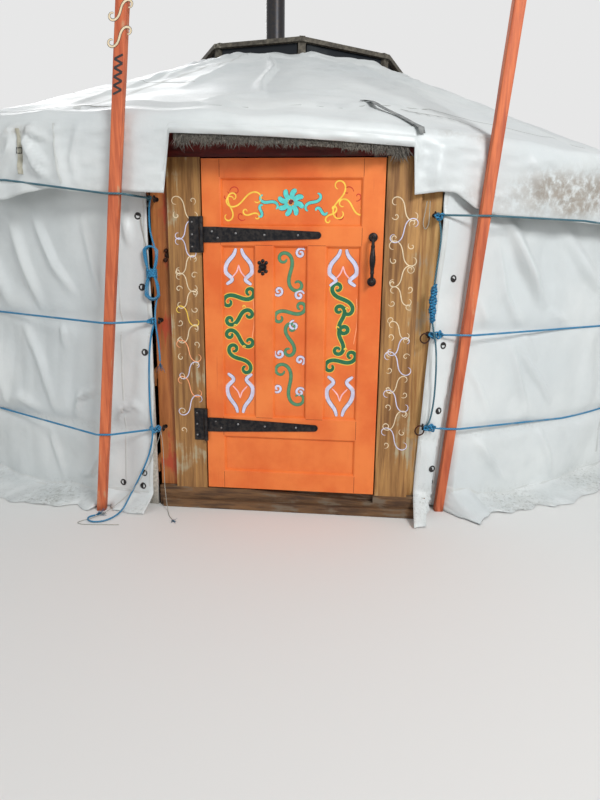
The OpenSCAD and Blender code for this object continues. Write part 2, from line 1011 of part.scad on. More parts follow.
module girth(r, z, tilt, lean, left_eye_h, right_eye_h, share) {
  right_h = cross_height(r, z, tilt, lean, 1, right_eye_h, share);
  left_h = cross_height(r, z, tilt, lean, -1, left_eye_h, share);
  from = end_angle(r, z, lean, 1, right_h);
  to = 360 + end_angle(r, z, lean, -1, left_h);
  color("steelblue") {
    translate([0, 0, eave_h])
      rotate([0, lean, 0])
        translate([0, 0, z - eave_h])
          rotate([0, tilt, 0])
            rotate([0, 0, from])
              rotate_extrude(angle = to - from, $fn = 180)
                translate([r, 0])
                  circle(d = rope_d, $fn = 16);
    rope_end(r, z, tilt, lean, -1, left_eye_h, share);
    rope_end(r, z, tilt, lean, 1, right_eye_h, share);
  }
}

module eave_rope() {
  girth(eave_r + rope_r, eave_rope_h, eave_rope_tilt, roof_lean,
        left_eave_eye_h, right_eave_eye_h, 0.05);
}

module middle_rope() {
  girth(wall_r + rope_r, middle_rope_h, middle_rope_tilt, 0,
        left_middle_eye_h, right_middle_eye_h, 0.3);
}

module lower_rope() {
  girth(wall_r + rope_r, lower_rope_h, 0, 0,
        left_lower_eye_h, right_lower_eye_h, 0.3);
}

// Screw eyes that the ropes are tied to
module tie_ring(side, z) {
  translate(eye_point(side, z))
    rotate([0, 0, -door_twist]) {
      rotate([0, 90, 0])
        rotate_extrude()
          translate([eye_d / 2, 0])
            circle(d = eye_bar);
      translate([0, eye_d / 2, 0])
        rotate([-90, 0, 0])
          cylinder(d = eye_bar + 1, h = eye_reach - eye_d / 2);
      translate([0, eye_reach - 3, 0])
        rotate([-90, 0, 0])
          cylinder(d = 2.6 * eye_bar, h = 3);
    }
}

module tie_rings() {
  color("black") {
    for (z = [left_eave_eye_h, left_middle_eye_h, left_lower_eye_h])
      tie_ring(-1, z);
    for (z = [right_eave_eye_h, right_middle_eye_h, right_lower_eye_h])
      tie_ring(1, z);
  }
}

// Free cords, along points chosen by hand
left_hank_run = [
  [-610, -2622.2, 1402.6], [-613.1, -2628.2, 1370.2], [-616, -2624, 1320], [-615, -2625, 1280],
  [-614, -2626, 1245], [-614, -2628, 1221.3]
];
left_hank_tail = [
  [-611, -2626, 976.7], [-609, -2629, 940], [-606, -2636, 890], [-602, -2633, 840],
  [-598, -2628, 790], [-595, -2628, 745], [-594, -2628, 708]
];
left_tail_run = [
  [-613.9, -2616.3, 878.7], [-621.9, -2625.9, 851.4], [-634, -2623, 800], [-642, -2622, 740],
  [-647, -2621, 670], [-650, -2620, 600], [-651, -2620, 530], [-649, -2627, 470],
  [-643, -2637, 420], [-640, -2642, 370], [-648, -2639, 315], [-668, -2634, 250],
  [-698, -2638, 180], [-732, -2646, 112], [-760, -2660, 58], [-778, -2680, 22],
  [-790, -2706, 7], [-800, -2740, 4.1], [-816, -2778, 4.1], [-842, -2806, 4.1],
  [-880, -2814, 4.1], [-910, -2796, 4.1], [-918, -2764, 4.1], [-898, -2742, 4.1]
];
right_tail_run = [
  [606.5, -2730, 1340.8], [614.1, -2740.5, 1314.9], [621, -2745, 1264], [617, -2750, 1200],
  [610, -2750, 1130], [604, -2749, 1060], [601, -2748, 990], [603, -2748, 930],
  [611, -2750, 880], [622, -2752, 830], [630, -2752, 770], [634, -2750, 700],
  [635, -2748, 630], [633, -2746, 560], [627, -2738, 492], [619.2, -2734.6, 459.8],
  [612, -2725.8, 443.2]
];
white_run = [
  [-607.9, -2611.8, 375.4], [-602.8, -2620.8, 353.8], [-599, -2622, 300], [-597, -2626, 250],
  [-596, -2630, 200], [-595, -2634, 150], [-593, -2639, 105], [-589, -2646, 66],
  [-584, -2656, 36], [-578, -2670, 14], [-572, -2688, 3], [-566, -2708, 1.6],
  [-558, -2732, 1.6], [-546, -2756, 1.6], [-534, -2778, 1.6]
];
hank_mid = [-614, -2630, 1099];
hank_w = 76;
hank_h = 244;
hank_t = 4 * cord_d;

// A tube through points; each ring stands square to the way of its neighbours
module cord(points, d, sides) {
  last = len(points) - 1;
  lead = [0.6, -0.2, 0.77];
  rings = [
    for (i = [0 : last])
      let (way = points[min(i + 1, last)] - points[max(i - 1, 0)],
           side = cross(lead, way) / norm(cross(lead, way)),
           up = cross(way, side) / norm(way))
        for (k = [0 : sides - 1])
          points[i] + d / 2 * (cos(k * 360 / sides) * side + sin(k * 360 / sides) * up)
  ];
  walls = [
    for (i = [0 : last - 1])
      for (k = [0 : sides - 1])
        let (a = i * sides + k, b = i * sides + (k + 1) % sides)
          each [[a, a + sides, b], [b, a + sides, b + sides]]
  ];
  ends = [
    [for (k = [0 : sides - 1]) k],
    [for (k = [0 : sides - 1]) last * sides + sides - 1 - k]
  ];
  polyhedron(points = rings, faces = concat(walls, ends));
}

// The hank is a coil pressed flat: a slab with round ends
module left_hank() {
  straight = hank_h - hank_w;
  color("dodgerblue")
    translate(hank_mid)
      rotate([90, 0, 0])
        translate([0, 0, -hank_t / 2])
          linear_extrude(hank_t)
            difference() {
              hull()
                for (y = [-straight / 2, straight / 2])
                  translate([0, y])
                    circle(d = hank_w);
              hull()
                for (y = [-straight / 2, straight / 2])
                  translate([0, y])
                    circle(d = hank_w - 2 * cord_d - 2);
            }
}

module left_hank_cord() {
  color("dodgerblue") {
    cord(left_hank_run, cord_d, 8);
    cord(left_hank_tail, cord_d, 8);
  }
}

module left_tail_cord() {
  color("dodgerblue") cord(left_tail_run, cord_d, 8);
}

module right_tail_cord() {
  color("dodgerblue") cord(right_tail_run, cord_d, 8);
}

module white_cord() {
  color("white") cord(white_run, thin_cord_d, 8);
}

// Distances by which the tilted props are moved out so that they just rest on
// the hem
left_hem_gap = -0.38;
right_hem_gap = 2.51;

// Props: each stands on the ground and rests against the hanging hem
function prop_foot_x(side) = side < 0 ? left_foot_x : right_foot_x;
function prop_lean(side) = side < 0 ? left_prop_lean : right_prop_lean;
function hem_gap(side) = side < 0 ? left_hem_gap : right_hem_gap;
function prop_touch_x(side) =
  prop_foot_x(side) + valance_h * tan(prop_lean(side)) - (valance_h - eave_h) * sin(roof_lean);
function prop_rest_y(side) =
  let (near_x = abs(prop_touch_x(side)) - prop_w / 2)
    -sqrt(eave_r * eave_r - near_x * near_x) - prop_w / 2 - hem_gap(side);

// Middle of a prop at a height
function prop_middle(side, z) = [
  prop_foot_x(side) + z * tan(prop_lean(side)),
  prop_rest_y(side) + prop_foot_in * (1 - z / valance_h),
  z
];

// Place of a rope at an edge of a prop's front face
function prop_front(side, edge, z) =
  prop_middle(side, z)
  + [edge * (prop_w / 2 + 5), -prop_w / 2 - rope_d / 2 - 2 * seat, 0];

module prop(side) {
  climb = norm([valance_h * tan(prop_lean(side)), prop_foot_in, valance_h]);
  intersection() {
    translate(prop_middle(side, 0))
      rotate([asin(prop_foot_in / climb), prop_lean(side), 0])
        translate([-prop_w / 2, -prop_w / 2, -prop_w])
          cube([prop_w, prop_w, prop_len + prop_w]);
    translate([-far, -far, 0])
      cube([2 * far, 2 * far, far]);
  }
}

module left_prop() {
  color("darksalmon") prop(-1);
}

module right_prop() {
  color("darksalmon") prop(1);
}

floor();
lattice_panel(0);  // lattice_front_right
lattice_panel(1);  // lattice_right
lattice_panel(2);  // lattice_back_right
lattice_panel(3);  // lattice_back_left
lattice_panel(4);  // lattice_left
lattice_panel(5);  // lattice_front_left
roof_poles();
crown_ring();
crown_spokes();
crown_hub();
lantern_curb();
lantern_side_panes();
lantern_rim();
lantern_ribs();
lantern_roof_panes();
flue_plate();
flue_pipe();
flue_cowl();
wall_felt();
roof_felt();
felt_fringe();
wall_cover_left();
wall_cover_right();
roof_cover();
door_sill();
left_jamb();
right_jamb();
left_post();
right_post();
door_head();
door_stop();
upper_hinge_plate();
lower_hinge_plate();
door_leaf();
door_panels();
upper_hinge_strap();
lower_hinge_strap();
door_handle();
door_latch();
eave_rope();
middle_rope();
lower_rope();
tie_rings();
left_hank();
left_hank_cord();
left_tail_cord();
right_tail_cord();
white_cord();
left_prop();
right_prop();
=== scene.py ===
# %% [markdown]
# # A round felt tent with a painted door
# The solid model of the tent comes in as a fixed frame: every board, lath and
# rope already stands in its place, in metres, with the ground at zero and the
# door facing -Y. This lesson dresses that frame. It gives each piece a finish
# made of nodes, and it replaces the stiff cloth and rope solids with surfaces
# worked out by formulas.

# %% Load the frame
import bpy
import math
import numpy as np
from mathutils import Matrix, Vector


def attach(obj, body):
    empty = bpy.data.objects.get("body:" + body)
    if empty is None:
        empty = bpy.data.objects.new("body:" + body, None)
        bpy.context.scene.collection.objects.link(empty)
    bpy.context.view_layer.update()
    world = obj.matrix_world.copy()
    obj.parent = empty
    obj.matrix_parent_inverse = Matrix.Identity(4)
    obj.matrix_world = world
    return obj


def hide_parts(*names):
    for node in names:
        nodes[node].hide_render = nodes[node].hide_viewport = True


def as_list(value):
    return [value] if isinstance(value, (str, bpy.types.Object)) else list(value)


TAU = 2 * math.pi
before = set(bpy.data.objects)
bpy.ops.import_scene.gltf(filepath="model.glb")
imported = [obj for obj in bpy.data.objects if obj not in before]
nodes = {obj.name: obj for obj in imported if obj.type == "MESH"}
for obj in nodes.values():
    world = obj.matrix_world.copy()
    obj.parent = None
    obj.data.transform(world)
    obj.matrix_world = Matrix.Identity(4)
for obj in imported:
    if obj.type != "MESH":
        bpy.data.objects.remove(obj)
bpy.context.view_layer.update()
print("the frame holds", len(nodes), "pieces")

# %% [markdown]
# ## The camera
# The photograph was taken from just outside the door, at chest height, looking
# a little down. The place and the angles come from matching the corners of the
# door leaf. A camera looks along its own -Z axis, so its matrix has the right
# and up directions as they are and the viewing direction turned round.

# %% Camera
CAMERA_PLACE = (0.030, -5.324, 1.158)
LOOK_RIGHT, LOOK_DOWN, PICTURE_ROLL = (math.radians(a) for a in (0.29, 13.05, 0.66))


def camera_axes(turn, down, roll):
    """Right, up and forward directions of a camera.

    Forward starts along +Y, turns right by one angle and tips down by another.
    Right stays level, up is square to both, and the roll turns these two."""
    forward = Vector((math.sin(turn) * math.cos(down),
                      math.cos(turn) * math.cos(down), -math.sin(down)))
    right = Vector((math.cos(turn), -math.sin(turn), 0))
    up = right.cross(forward)
    return (right * math.cos(roll) + up * math.sin(roll),
            up * math.cos(roll) - right * math.sin(roll), forward)


right, up, forward = camera_axes(LOOK_RIGHT, LOOK_DOWN, PICTURE_ROLL)
lens = bpy.data.cameras.new("camera")
lens.sensor_width = 36
lens.lens = 27
lens.clip_end = 100
camera = bpy.data.objects.new("camera", lens)
bpy.context.scene.collection.objects.link(camera)
camera.matrix_world = Matrix((
    (right.x, up.x, -forward.x, CAMERA_PLACE[0]),
    (right.y, up.y, -forward.y, CAMERA_PLACE[1]),
    (right.z, up.z, -forward.z, CAMERA_PLACE[2]),
    (0, 0, 0, 1)))
bpy.context.scene.camera = camera
print("camera stands at", CAMERA_PLACE)

# %% [markdown]
# ## Colours
# A paint chart gives a colour as three values up to 255. A shader works with
# amounts of light, so every colour in this lesson goes through one function.

# %% Colours as light
def shade(red, green, blue):
    """A colour as light: each value divided by 255, to the power 2.2."""
    return tuple((v / 255) ** 2.2 for v in (red, green, blue)) + (1.0,)


print("the door's orange as light:", [round(v, 2) for v in shade(238, 128, 62)])

# %% [markdown]
# ## A short way to write a finish
# A finish is a tree of small nodes that feed one shader. Writing each node and
# each link by hand is long, so this class adds a node per call and hands back
# its output. Patterns read Object coordinates, which are metres here, so a
# scale of 100 makes a spot about a centimetre wide.

# %% Finishes as node trees
class Finish:
    """One material. Each method adds a node and returns its output socket."""

    def __init__(self, name, roughness=0.6, metallic=0.0):
        self.material = bpy.data.materials.new(name)
        self.material.use_nodes = True
        self.tree = self.material.node_tree
        self.shader = self.tree.nodes["Principled BSDF"]
        self.shader.inputs["Roughness"].default_value = roughness
        self.shader.inputs["Metallic"].default_value = metallic
        self.place = self.add("ShaderNodeTexCoord").outputs["Object"]

    def add(self, kind, **settings):
        node = self.tree.nodes.new(kind)
        for name, value in settings.items():
            setattr(node, name, value)
        return node

    def feed(self, socket, value):
        if isinstance(value, bpy.types.NodeSocket):
            self.tree.links.new(value, socket)
        else:
            socket.default_value = value

    def stretch(self, factors):
        """Coordinates multiplied by a factor on each axis."""
        node = self.add("ShaderNodeVectorMath", operation="MULTIPLY")
        self.feed(node.inputs[0], self.place)
        node.inputs[1].default_value = factors
        return node.outputs[0]

    def noise(self, scale, detail=4.0, rough=0.55, place=None):
        node = self.add("ShaderNodeTexNoise")
        self.feed(node.inputs["Vector"], place or self.place)
        node.inputs["Scale"].default_value = scale
        node.inputs["Detail"].default_value = detail
        node.inputs["Roughness"].default_value = rough
        return node.outputs["Fac"]

    def cells(self, scale):
        node = self.add("ShaderNodeTexVoronoi", feature="F1")
        self.feed(node.inputs["Vector"], self.place)
        node.inputs["Scale"].default_value = scale
        return node.outputs["Distance"]

    def axis(self, letter, place):
        node = self.add("ShaderNodeSeparateXYZ")
        self.feed(node.inputs[0], place)
        return node.outputs[letter]

    def math(self, operation, a, b=0.0):
        node = self.add("ShaderNodeMath", operation=operation)
        self.feed(node.inputs[0], a)
        self.feed(node.inputs[1], b)
        return node.outputs[0]

    def spread(self, value, low, high, start=0.0, end=1.0):
        """Carries a range of values to another, smoothly and clamped."""
        node = self.add("ShaderNodeMapRange", interpolation_type="SMOOTHSTEP")
        for name, v in zip(("Value", "From Min", "From Max", "To Min", "To Max"),
                           (value, low, high, start, end)):
            self.feed(node.inputs[name], v)
        return node.outputs[0]

    def mix(self, factor, first, second):
        node = self.add("ShaderNodeMixRGB")
        for name, v in zip(("Fac", "Color1", "Color2"), (factor, first, second)):
            self.feed(node.inputs[name], v)
        return node.outputs[0]

    def colour(self, value):
        self.feed(self.shader.inputs["Base Color"], value)
        return self

    def dull(self, value):
        self.feed(self.shader.inputs["Roughness"], value)
        return self

    def bump(self, *layers):
        """Height patterns in metres, each given as (pattern, height)."""
        last = self.shader
        for pattern, height in reversed(layers):
            node = self.add("ShaderNodeBump")
            node.inputs["Distance"].default_value = height
            self.feed(node.inputs["Height"], pattern)
            self.feed(last.inputs["Normal"], node.outputs[0])
            last = node
        return self


print("finishes can be written")

# %% [markdown]
# ## A finish on a solid
# The solids already stand in the scene. A solid that stays as it is only needs
# its plain material taken off and a finish put on.

# %% Dress the solids
def dress(finish, *names):
    """Puts a finish on CAD nodes by name."""
    for name in names:
        mesh = nodes[name].data
        mesh.materials.clear()
        mesh.materials.append(finish.material)


print("solids can be dressed")

# %% [markdown]
# ## Ropes as lines first
# The loose cords come before anything else. A rope starts as a line. It is
# smoothed with a cubic that passes through every point that was chosen for it,
# where the more usual curve only comes near them.

# %% Lines
def unit(vectors):
    """Each vector divided by its own length."""
    return vectors / np.linalg.norm(vectors, axis=-1, keepdims=True)


def run_along(points):
    """Metres from the start of a line to each of its points."""
    return np.concatenate([[0], np.cumsum(np.linalg.norm(np.diff(points, axis=0), axis=1))])


def around(a, r, *height):
    """Places at the azimuth a, counted from -Y towards +X, and the radius r:
    r times the sine of a, minus r times its cosine, and the height if given."""
    return np.stack(np.broadcast_arrays(r * np.sin(a), -r * np.cos(a), *height), -1)


def smooth_line(points, spacing):
    """Evenly spaced points on a curve through the given ones.

    Each stretch between two points is the cubic that has, at both, the slope
    between their neighbours. The curve is then cut at equal distances."""
    p = np.asarray(points, float)
    p = np.vstack([2 * p[0] - p[1], p, 2 * p[-1] - p[-2]])
    t = np.linspace(0, 1, 16, endpoint=False)[None, :, None]
    a, b, c, d = (p[i:len(p) - 3 + i, None, :] for i in range(4))
    curve = 0.5 * (2 * b + (c - a) * t + (2 * a - 5 * b + 4 * c - d) * t ** 2
                   + (3 * b - a - 3 * c + d) * t ** 3)
    return even_line(np.vstack([curve.reshape(-1, p.shape[1]), p[-2]]), spacing)


def even_line(points, spacing):
    """The same line cut again at equal distances."""
    points = np.asarray(points, float)
    run = run_along(points)
    count = max(2, int(round(run[-1] / spacing)) + 1)
    at = np.linspace(0, run[-1], count)
    return np.stack([np.interp(at, run, points[:, k]) for k in range(points.shape[1])], 1)


def line_length(points):
    """The sum of the distances from point to point."""
    return float(run_along(points)[-1])


print("a half circle of 1 m measures", line_length(around(np.linspace(0, math.pi, 99), 1.0)))

# %% [markdown]
# ## From a line to a tube
# A rope is a round profile carried along its line. At each point two directions
# square to the line are needed, and they come from one fixed direction that no
# rope here follows for long, so that the profile never spins.

# %% Tubes
LEAD = np.array([0.6, -0.2, 0.77])


def tube_rings(path, radius, sides):
    """Rings of a round tube: the cosine of the turn times a side direction plus
    the sine times an up direction, both square to the way of the path."""
    way = unit(np.gradient(path, axis=0))
    side = unit(np.cross(LEAD, way))
    up = np.cross(way, side)
    turn = np.arange(sides) * TAU / sides
    radius = np.broadcast_to(radius, len(path))[:, None, None]
    return path[:, None, :] + radius * (np.cos(turn)[None, :, None] * side[:, None, :]
                                        + np.sin(turn)[None, :, None] * up[:, None, :])


def quads(rows, columns, wrap=False, start=0):
    """Corner numbers of the squares of a grid. With wrap, the last column is
    joined to the first."""
    i = np.arange(rows - 1)[:, None]
    j = np.arange(columns if wrap else columns - 1)[None, :]
    k = (j + 1) % columns
    faces = np.stack([i * columns + j, i * columns + k, (i + 1) * columns + k,
                      (i + 1) * columns + j], -1)
    return faces.reshape(-1, 4) + start


print("a tube of 3 rings and 8 sides has", len(quads(3, 8, wrap=True)), "squares")

# %% [markdown]
# ## One mesh from many grids
# Every new surface in this lesson is a grid of points, worked out as one array.
# This class gathers grids and tubes, joins each grid's squares and writes all
# of it into one mesh. It also carries a map in metres for patterns that follow
# the surface, such as the strands of a rope.

# %% The shape class
class Shape:
    """Gathers grids into one mesh, with a map in metres and named values."""

    def __init__(self):
        self.points, self.faces, self.maps, self.count = [], [], [], 0

    def grid(self, points, uv=None, wrap=False, flip=False):
        """Adds a grid of points, given as rows by columns by three."""
        rows, columns = points.shape[:2]
        faces = quads(rows, columns, wrap, self.count)
        if flip:
            faces = faces[:, ::-1]
        if uv is None:
            uv = np.zeros((rows, columns, 2))
        self.points.append(points.reshape(-1, 3))
        self.faces += faces.tolist()
        self.maps.append(np.asarray(uv, float).reshape(-1, 2))
        self.count += rows * columns
        return self

    def tube(self, path, radius, sides=8):
        """Adds a tube with flat ends along a path."""
        rings = tube_rings(path, radius, sides)
        first = self.count
        turn = np.arange(sides)[None, :] / sides
        self.grid(rings, np.stack(np.broadcast_arrays(turn, run_along(path)[:, None]), -1), wrap=True)
        last = first + (len(path) - 1) * sides
        self.faces.append(list(range(first + sides - 1, first - 1, -1)))
        self.faces.append(list(range(last, last + sides)))
        return self

    def make(self, name, finish, smooth=True, values=None):
        """Makes the object. A finish is a Finish; values are numbers per point."""
        mesh = bpy.data.meshes.new(name)
        mesh.from_pydata(np.vstack(self.points).tolist(), [], self.faces)
        corner = np.empty(len(mesh.loops), np.int32)
        mesh.loops.foreach_get("vertex_index", corner)
        layer = mesh.uv_layers.new(name="map")
        layer.data.foreach_set("uv", np.vstack(self.maps)[corner].ravel())
        for label, numbers in (values or {}).items():
            mesh.attributes.new(label, "FLOAT", "POINT").data.foreach_set(
                "value", np.asarray(numbers, np.float32).ravel())
        mesh.polygons.foreach_set("use_smooth", np.full(len(mesh.polygons), smooth))
        mesh.materials.append(finish.material)
        piece = bpy.data.objects.new(name, mesh)
        bpy.context.scene.collection.objects.link(piece)
        return piece


def settle(piece, body, slot, *stands_for):
    """Says which body a piece moves with and hides what it replaces. Its slot is not used."""
    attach(piece, body)
    if stands_for:
        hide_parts(*stands_for)
    return piece


print("grids and tubes can be made into pieces")

# %% [markdown]
# ## Blue rope and white cord
# Laid polypropylene rope is three strands twisted together. They are cheaper as
# a pattern of slanting bands than as geometry. The dark side of each band is
# painted shade in the groove between two strands.

# %% Rope finishes
def laid_rope(name, dark, light, pitch, strands=3):
    """Rope with slanting strands. The bands are a sine of the turn round the
    rope plus the length divided by the length of one whole twist. The low side
    of the sine is painted shade in the grooves."""
    f = Finish(name, 0.62)
    uv = f.add("ShaderNodeTexCoord").outputs["UV"]
    lay = f.math("ADD", f.axis("X", uv), f.math("DIVIDE", f.axis("Y", uv), pitch))
    band = f.math("SINE", f.math("MULTIPLY", lay, strands * TAU))
    age = f.noise(14, 5)
    # Painted shade: the grooves between strands are dark and their crowns light.
    tone = f.mix(f.spread(band, -0.9, 0.5), dark, light)
    f.colour(f.mix(f.spread(age, 0.5, 0.75, 0, 0.5), tone, shade(150, 166, 170)))
    f.bump((band, 0.0009), (f.noise(500, 3), 0.0003))
    return f


rope_blue = laid_rope("rope_blue", shade(20, 78, 122), shade(64, 158, 206), 0.034)
rope_teal = laid_rope("rope_teal", shade(30, 62, 74), shade(82, 130, 146), 0.034)
cord_white = laid_rope("cord_white", shade(150, 150, 140), shade(222, 220, 208), 0.012)
print("rope finishes:", rope_blue.material.name, rope_teal.material.name, cord_white.material.name)

# %% [markdown]
# ## Where the loose cords run
# Each cord is a list of points in millimetres, from the knot where it starts to
# its free end. They were read off the picture through the camera above. Where a
# cord lies on the ground, its middle is half its thickness above zero.

# %% Runs of the cords
MM = 0.001
CORD = 0.008
HANK_RUN = [
    (-610, -2622.2, 1402.6), (-613.1, -2628.2, 1370.2), (-616, -2624, 1320), (-614, -2625, 1280),
    (-604, -2634, 1240), (-592, -2642, 1200), (-588, -2645, 1165)]
HANK_TAIL = [
    (-589, -2619, 1040), (-592, -2620, 1010), (-600, -2623, 975), (-606, -2627, 935),
    (-606, -2634, 890), (-602, -2633, 840), (-598, -2628, 790), (-595, -2628, 745), (-594, -2628, 708)]
LEFT_TAIL = [
    (-613.9, -2616.3, 878.7), (-621.9, -2625.9, 851.4), (-634, -2623, 800), (-642, -2622, 740),
    (-647, -2621, 670), (-650, -2620, 600), (-651, -2620, 530), (-649, -2627, 470), (-643, -2637, 420),
    (-640, -2642, 370), (-648, -2639, 315), (-668, -2634, 250), (-698, -2638, 180), (-732, -2646, 112),
    (-760, -2660, 58), (-778, -2680, 22), (-790, -2706, 7), (-800, -2740, 4.1), (-816, -2778, 4.1),
    (-842, -2806, 4.1), (-880, -2814, 4.1), (-910, -2796, 4.1), (-918, -2764, 4.1), (-898, -2742, 4.1)]
RIGHT_TAIL = [
    (606.5, -2730, 1340.8), (614.1, -2740.5, 1314.9), (621, -2745, 1264), (617, -2750, 1200),
    (610, -2750, 1130), (604, -2749, 1060), (601, -2748, 990), (603, -2748, 930), (611, -2750, 880),
    (622, -2752, 830), (630, -2752, 770), (634, -2750, 700), (635, -2748, 630), (633, -2746, 560),
    (627, -2738, 492), (619.2, -2734.6, 459.8), (612, -2725.8, 443.2)]
WHITE_RUN = [
    (-607.9, -2611.8, 375.4), (-602.8, -2620.8, 353.8), (-599, -2622, 300), (-597, -2626, 250),
    (-596, -2630, 200), (-595, -2634, 150), (-593, -2639, 105), (-589, -2646, 66), (-584, -2656, 36),
    (-578, -2670, 14), (-572, -2688, 3), (-566, -2708, 1.6), (-558, -2732, 1.6), (-546, -2756, 1.6),
    (-534, -2778, 1.6)]
LOOP_RUN = [
    (560, -2722, 1405), (552, -2731, 1360), (546, -2735, 1315), (556, -2737, 1292), (568, -2736, 1315),
    (570, -2732, 1360), (572, -2724, 1405)]
BEIGE_RUN = [
    (-607, -2612, 376), (-612, -2622, 352), (-630, -2634, 300), (-655, -2640, 235), (-690, -2652, 170),
    (-735, -2672, 105), (-790, -2700, 55), (-850, -2740, 18), (-905, -2775, 2.5), (-938, -2798, 1.6),
    (-950, -2818, 1.6), (-930, -2834, 1.6), (-880, -2838, 1.6), (-820, -2838, 1.6), (-760, -2838, 1.6)]
TIE_RUN = [
    (-655, -2618, 1335), (-650, -2622, 1300), (-643, -2620, 1250), (-634, -2622, 1200),
    (-626, -2634, 1150), (-618, -2650, 1100)]
LOWEST = 0.0016


def cord_line(run, step):
    """A run in millimetres as a smooth line in metres that stays over the ground."""
    line = smooth_line(run, step) * MM
    line[:, 2] = np.maximum(line[:, 2], LOWEST)
    return line


print("the left tail falls", round(LEFT_TAIL[0][2] * MM, 2), "m to the ground")

# %% [markdown]
# ## The hank
# The hank by the door is one line: it comes down from the knot, goes round in
# long loops, is tied in the middle and hangs down. Five separate rings would be
# simpler, but then nothing would lead from one loop to the next.

# %% Turns of the hank
def hank_turns(x, z, half, half_height, front, back, turns):
    """Points of a rope wound in upright loops and bound in the middle.

    One loop is a stadium: two straight legs joined by half circles. The depth
    goes from front to back in even steps, so that each loop lies behind the
    last. A bell round the middle pulls the legs together under the binding."""
    share = np.linspace(0.25, turns + 0.25, int(turns * 28) + 1)
    turn = TAU * share
    wide = half - 3.5 + 3.5 * np.sin(2.4 * share)
    pz = half * np.cos(turn) + (half_height - half) * np.clip(2.2 * np.cos(turn), -1, 1)
    tied = 1 - 0.62 * np.exp(-(pz / 52) ** 2)
    px = x + wide * np.sin(turn) * tied
    py = front + (back - front) * (share - 0.25) / turns
    return np.stack([px, py, z + pz + 2.5 * np.sin(3.1 * share)], 1)


turns = hank_turns(-614, 1099, 33, 114, -2645, -2618.5, 5)
print("the turns of the hank:", len(turns), "points")

# %% [markdown]
# ## A cord as a piece
# A line becomes a tube. A bare end is a brush of loose strands.

# %% Cords as pieces
def rope_piece(name, line, width, finish, *stands_for):
    """A tube along a line, as a piece of the tent. A thin cord has fewer sides."""
    tube = Shape().tube(line, width / 2, 10 if width == CORD else 8)
    slot = "cord_white" if finish is cord_white else "rope_blue"
    return settle(tube.make(name, finish), "tent", slot, *stands_for)


def declare_cord(line, width, end, mates):
    """Works out where a cord starts, its length and its list of mates, and keeps
    none of them.
    """
    tuple(line[0])
    line_length(line)
    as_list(mates)


def frayed_end(name, tip, way, length, seed, count=22):
    """A brush of thin strands from the end of a rope. Each follows the rope's way
    plus a random sideways part that grows with the square of the length."""
    rng = np.random.default_rng(seed)
    tip, way = np.array(tip), unit(np.array(way, float))
    t = np.linspace(0, 1, 6)[:, None]
    shape = Shape()
    for _ in range(count):
        spread = np.clip(rng.normal(0, 0.34, 3), -0.5, 0.5)
        strand = tip + length * rng.uniform(0.55, 1) * (way * t + spread * t ** 2)
        strand[:, 2] = np.maximum(strand[:, 2], 0.0012)
        shape.tube(strand, np.linspace(0.0011, 0.0005, 6), 4)
    return settle(shape.make(name, rope_blue), "tent", "rope_blue")


# %% Hank
hank_path = cord_line(np.vstack([HANK_RUN, turns, HANK_TAIL]), 5)
hank = rope_piece("hank_rope", hank_path, CORD, rope_blue, "left_hank", "left_hank_cord")
wrap_turn = np.linspace(0, 4.5 * TAU, 150)
wrap_path = np.stack([-0.614 + 0.0215 * np.cos(wrap_turn), -2.6312 + 0.0205 * np.sin(wrap_turn),
                      1.080 + 0.0082 * wrap_turn / TAU], 1)
hank_wrap = rope_piece("hank_wrap", wrap_path, CORD, rope_blue)
hank_fray = frayed_end("hank_fray", (-0.594, -2.628, 0.709), (0.1, -0.1, -1), 0.045, 4)
declare_cord(hank_path, CORD, "bare", [hank_wrap, hank_fray])
print("hank rope", round(line_length(hank_path), 2), "m long")

# %% [markdown]
# ## The other loose cords
# The rest hang more or less straight, so one table holds them all. Its pair of
# numbers is the step in millimetres between points, in the tube and in the line
# whose length is printed. Two cords end in a brush of strands, which is made first.

# %% Loose cords
left_fray = frayed_end("left_rope_fray", (-0.900, -2.7425, 0.004), (0.75, 0.5, -0.02), 0.05, 3, 40)
white_fray = frayed_end("white_line_fray", (-0.534, -2.778, 0.0018), (0.4, -0.8, 0), 0.034, 5)
for name, run, (drawn, told), width, finish, end, mates, stands_for in (
        ("left_tail_rope", LEFT_TAIL, (5, 5), CORD, rope_blue, "bare", [left_fray], ["left_tail_cord"]),
        ("right_tail_rope", RIGHT_TAIL, (5, 5), CORD, rope_teal, "object", [], ["right_tail_cord"]),
        ("white_line", WHITE_RUN, (4, 5), 0.003, cord_white, "bare", [white_fray], ["white_cord"]),
        ("white_loop", LOOP_RUN, (6, 6), 0.0032, cord_white, "object", [], []),
        ("beige_line", BEIGE_RUN, (4, 4), 0.0028, cord_white, "bare", [], []),
        ("grey_tie_line", TIE_RUN, (4, 4), 0.0038, cord_white, "object", [], [])):
    piece = rope_piece(name, cord_line(run, drawn), width, finish, *stands_for)
    line = cord_line(run, told)
    declare_cord(line, width, end, mates)
    print(name, round(line_length(line), 2), "m long")

# %% [markdown]
# ## Girth ropes
# Three taut ropes hold the covers and the props. Each is nearly a circle, a
# little tilted, then a short straight run over a prop to its knot. The path is
# computed from that circle, so the tube follows the cloth everywhere.

# %% Girth circles
ROPE = 0.009
EAVE_Z = 1.690
MIDDLE_Z, MIDDLE_TILT, LOWER_Z = 0.865, 0.9, 0.369


def girth_circle(radius, z, tilt, lean, start, end):
    """A tilted circle between two azimuths in degrees.

    The tilt lowers the circle on its +X side. The lean turns it, with the whole
    roof, round the Y axis at the height of the eave."""
    flat = around(np.radians(np.arange(start, end, 0.45)), radius)
    t, w = math.radians(tilt), math.radians(lean)
    x = flat[:, 0] * math.cos(t)
    h = z - EAVE_Z - flat[:, 0] * math.sin(t)
    return np.stack([x * math.cos(w) + h * math.sin(w), flat[:, 1],
                     EAVE_Z - x * math.sin(w) + h * math.cos(w)], 1)


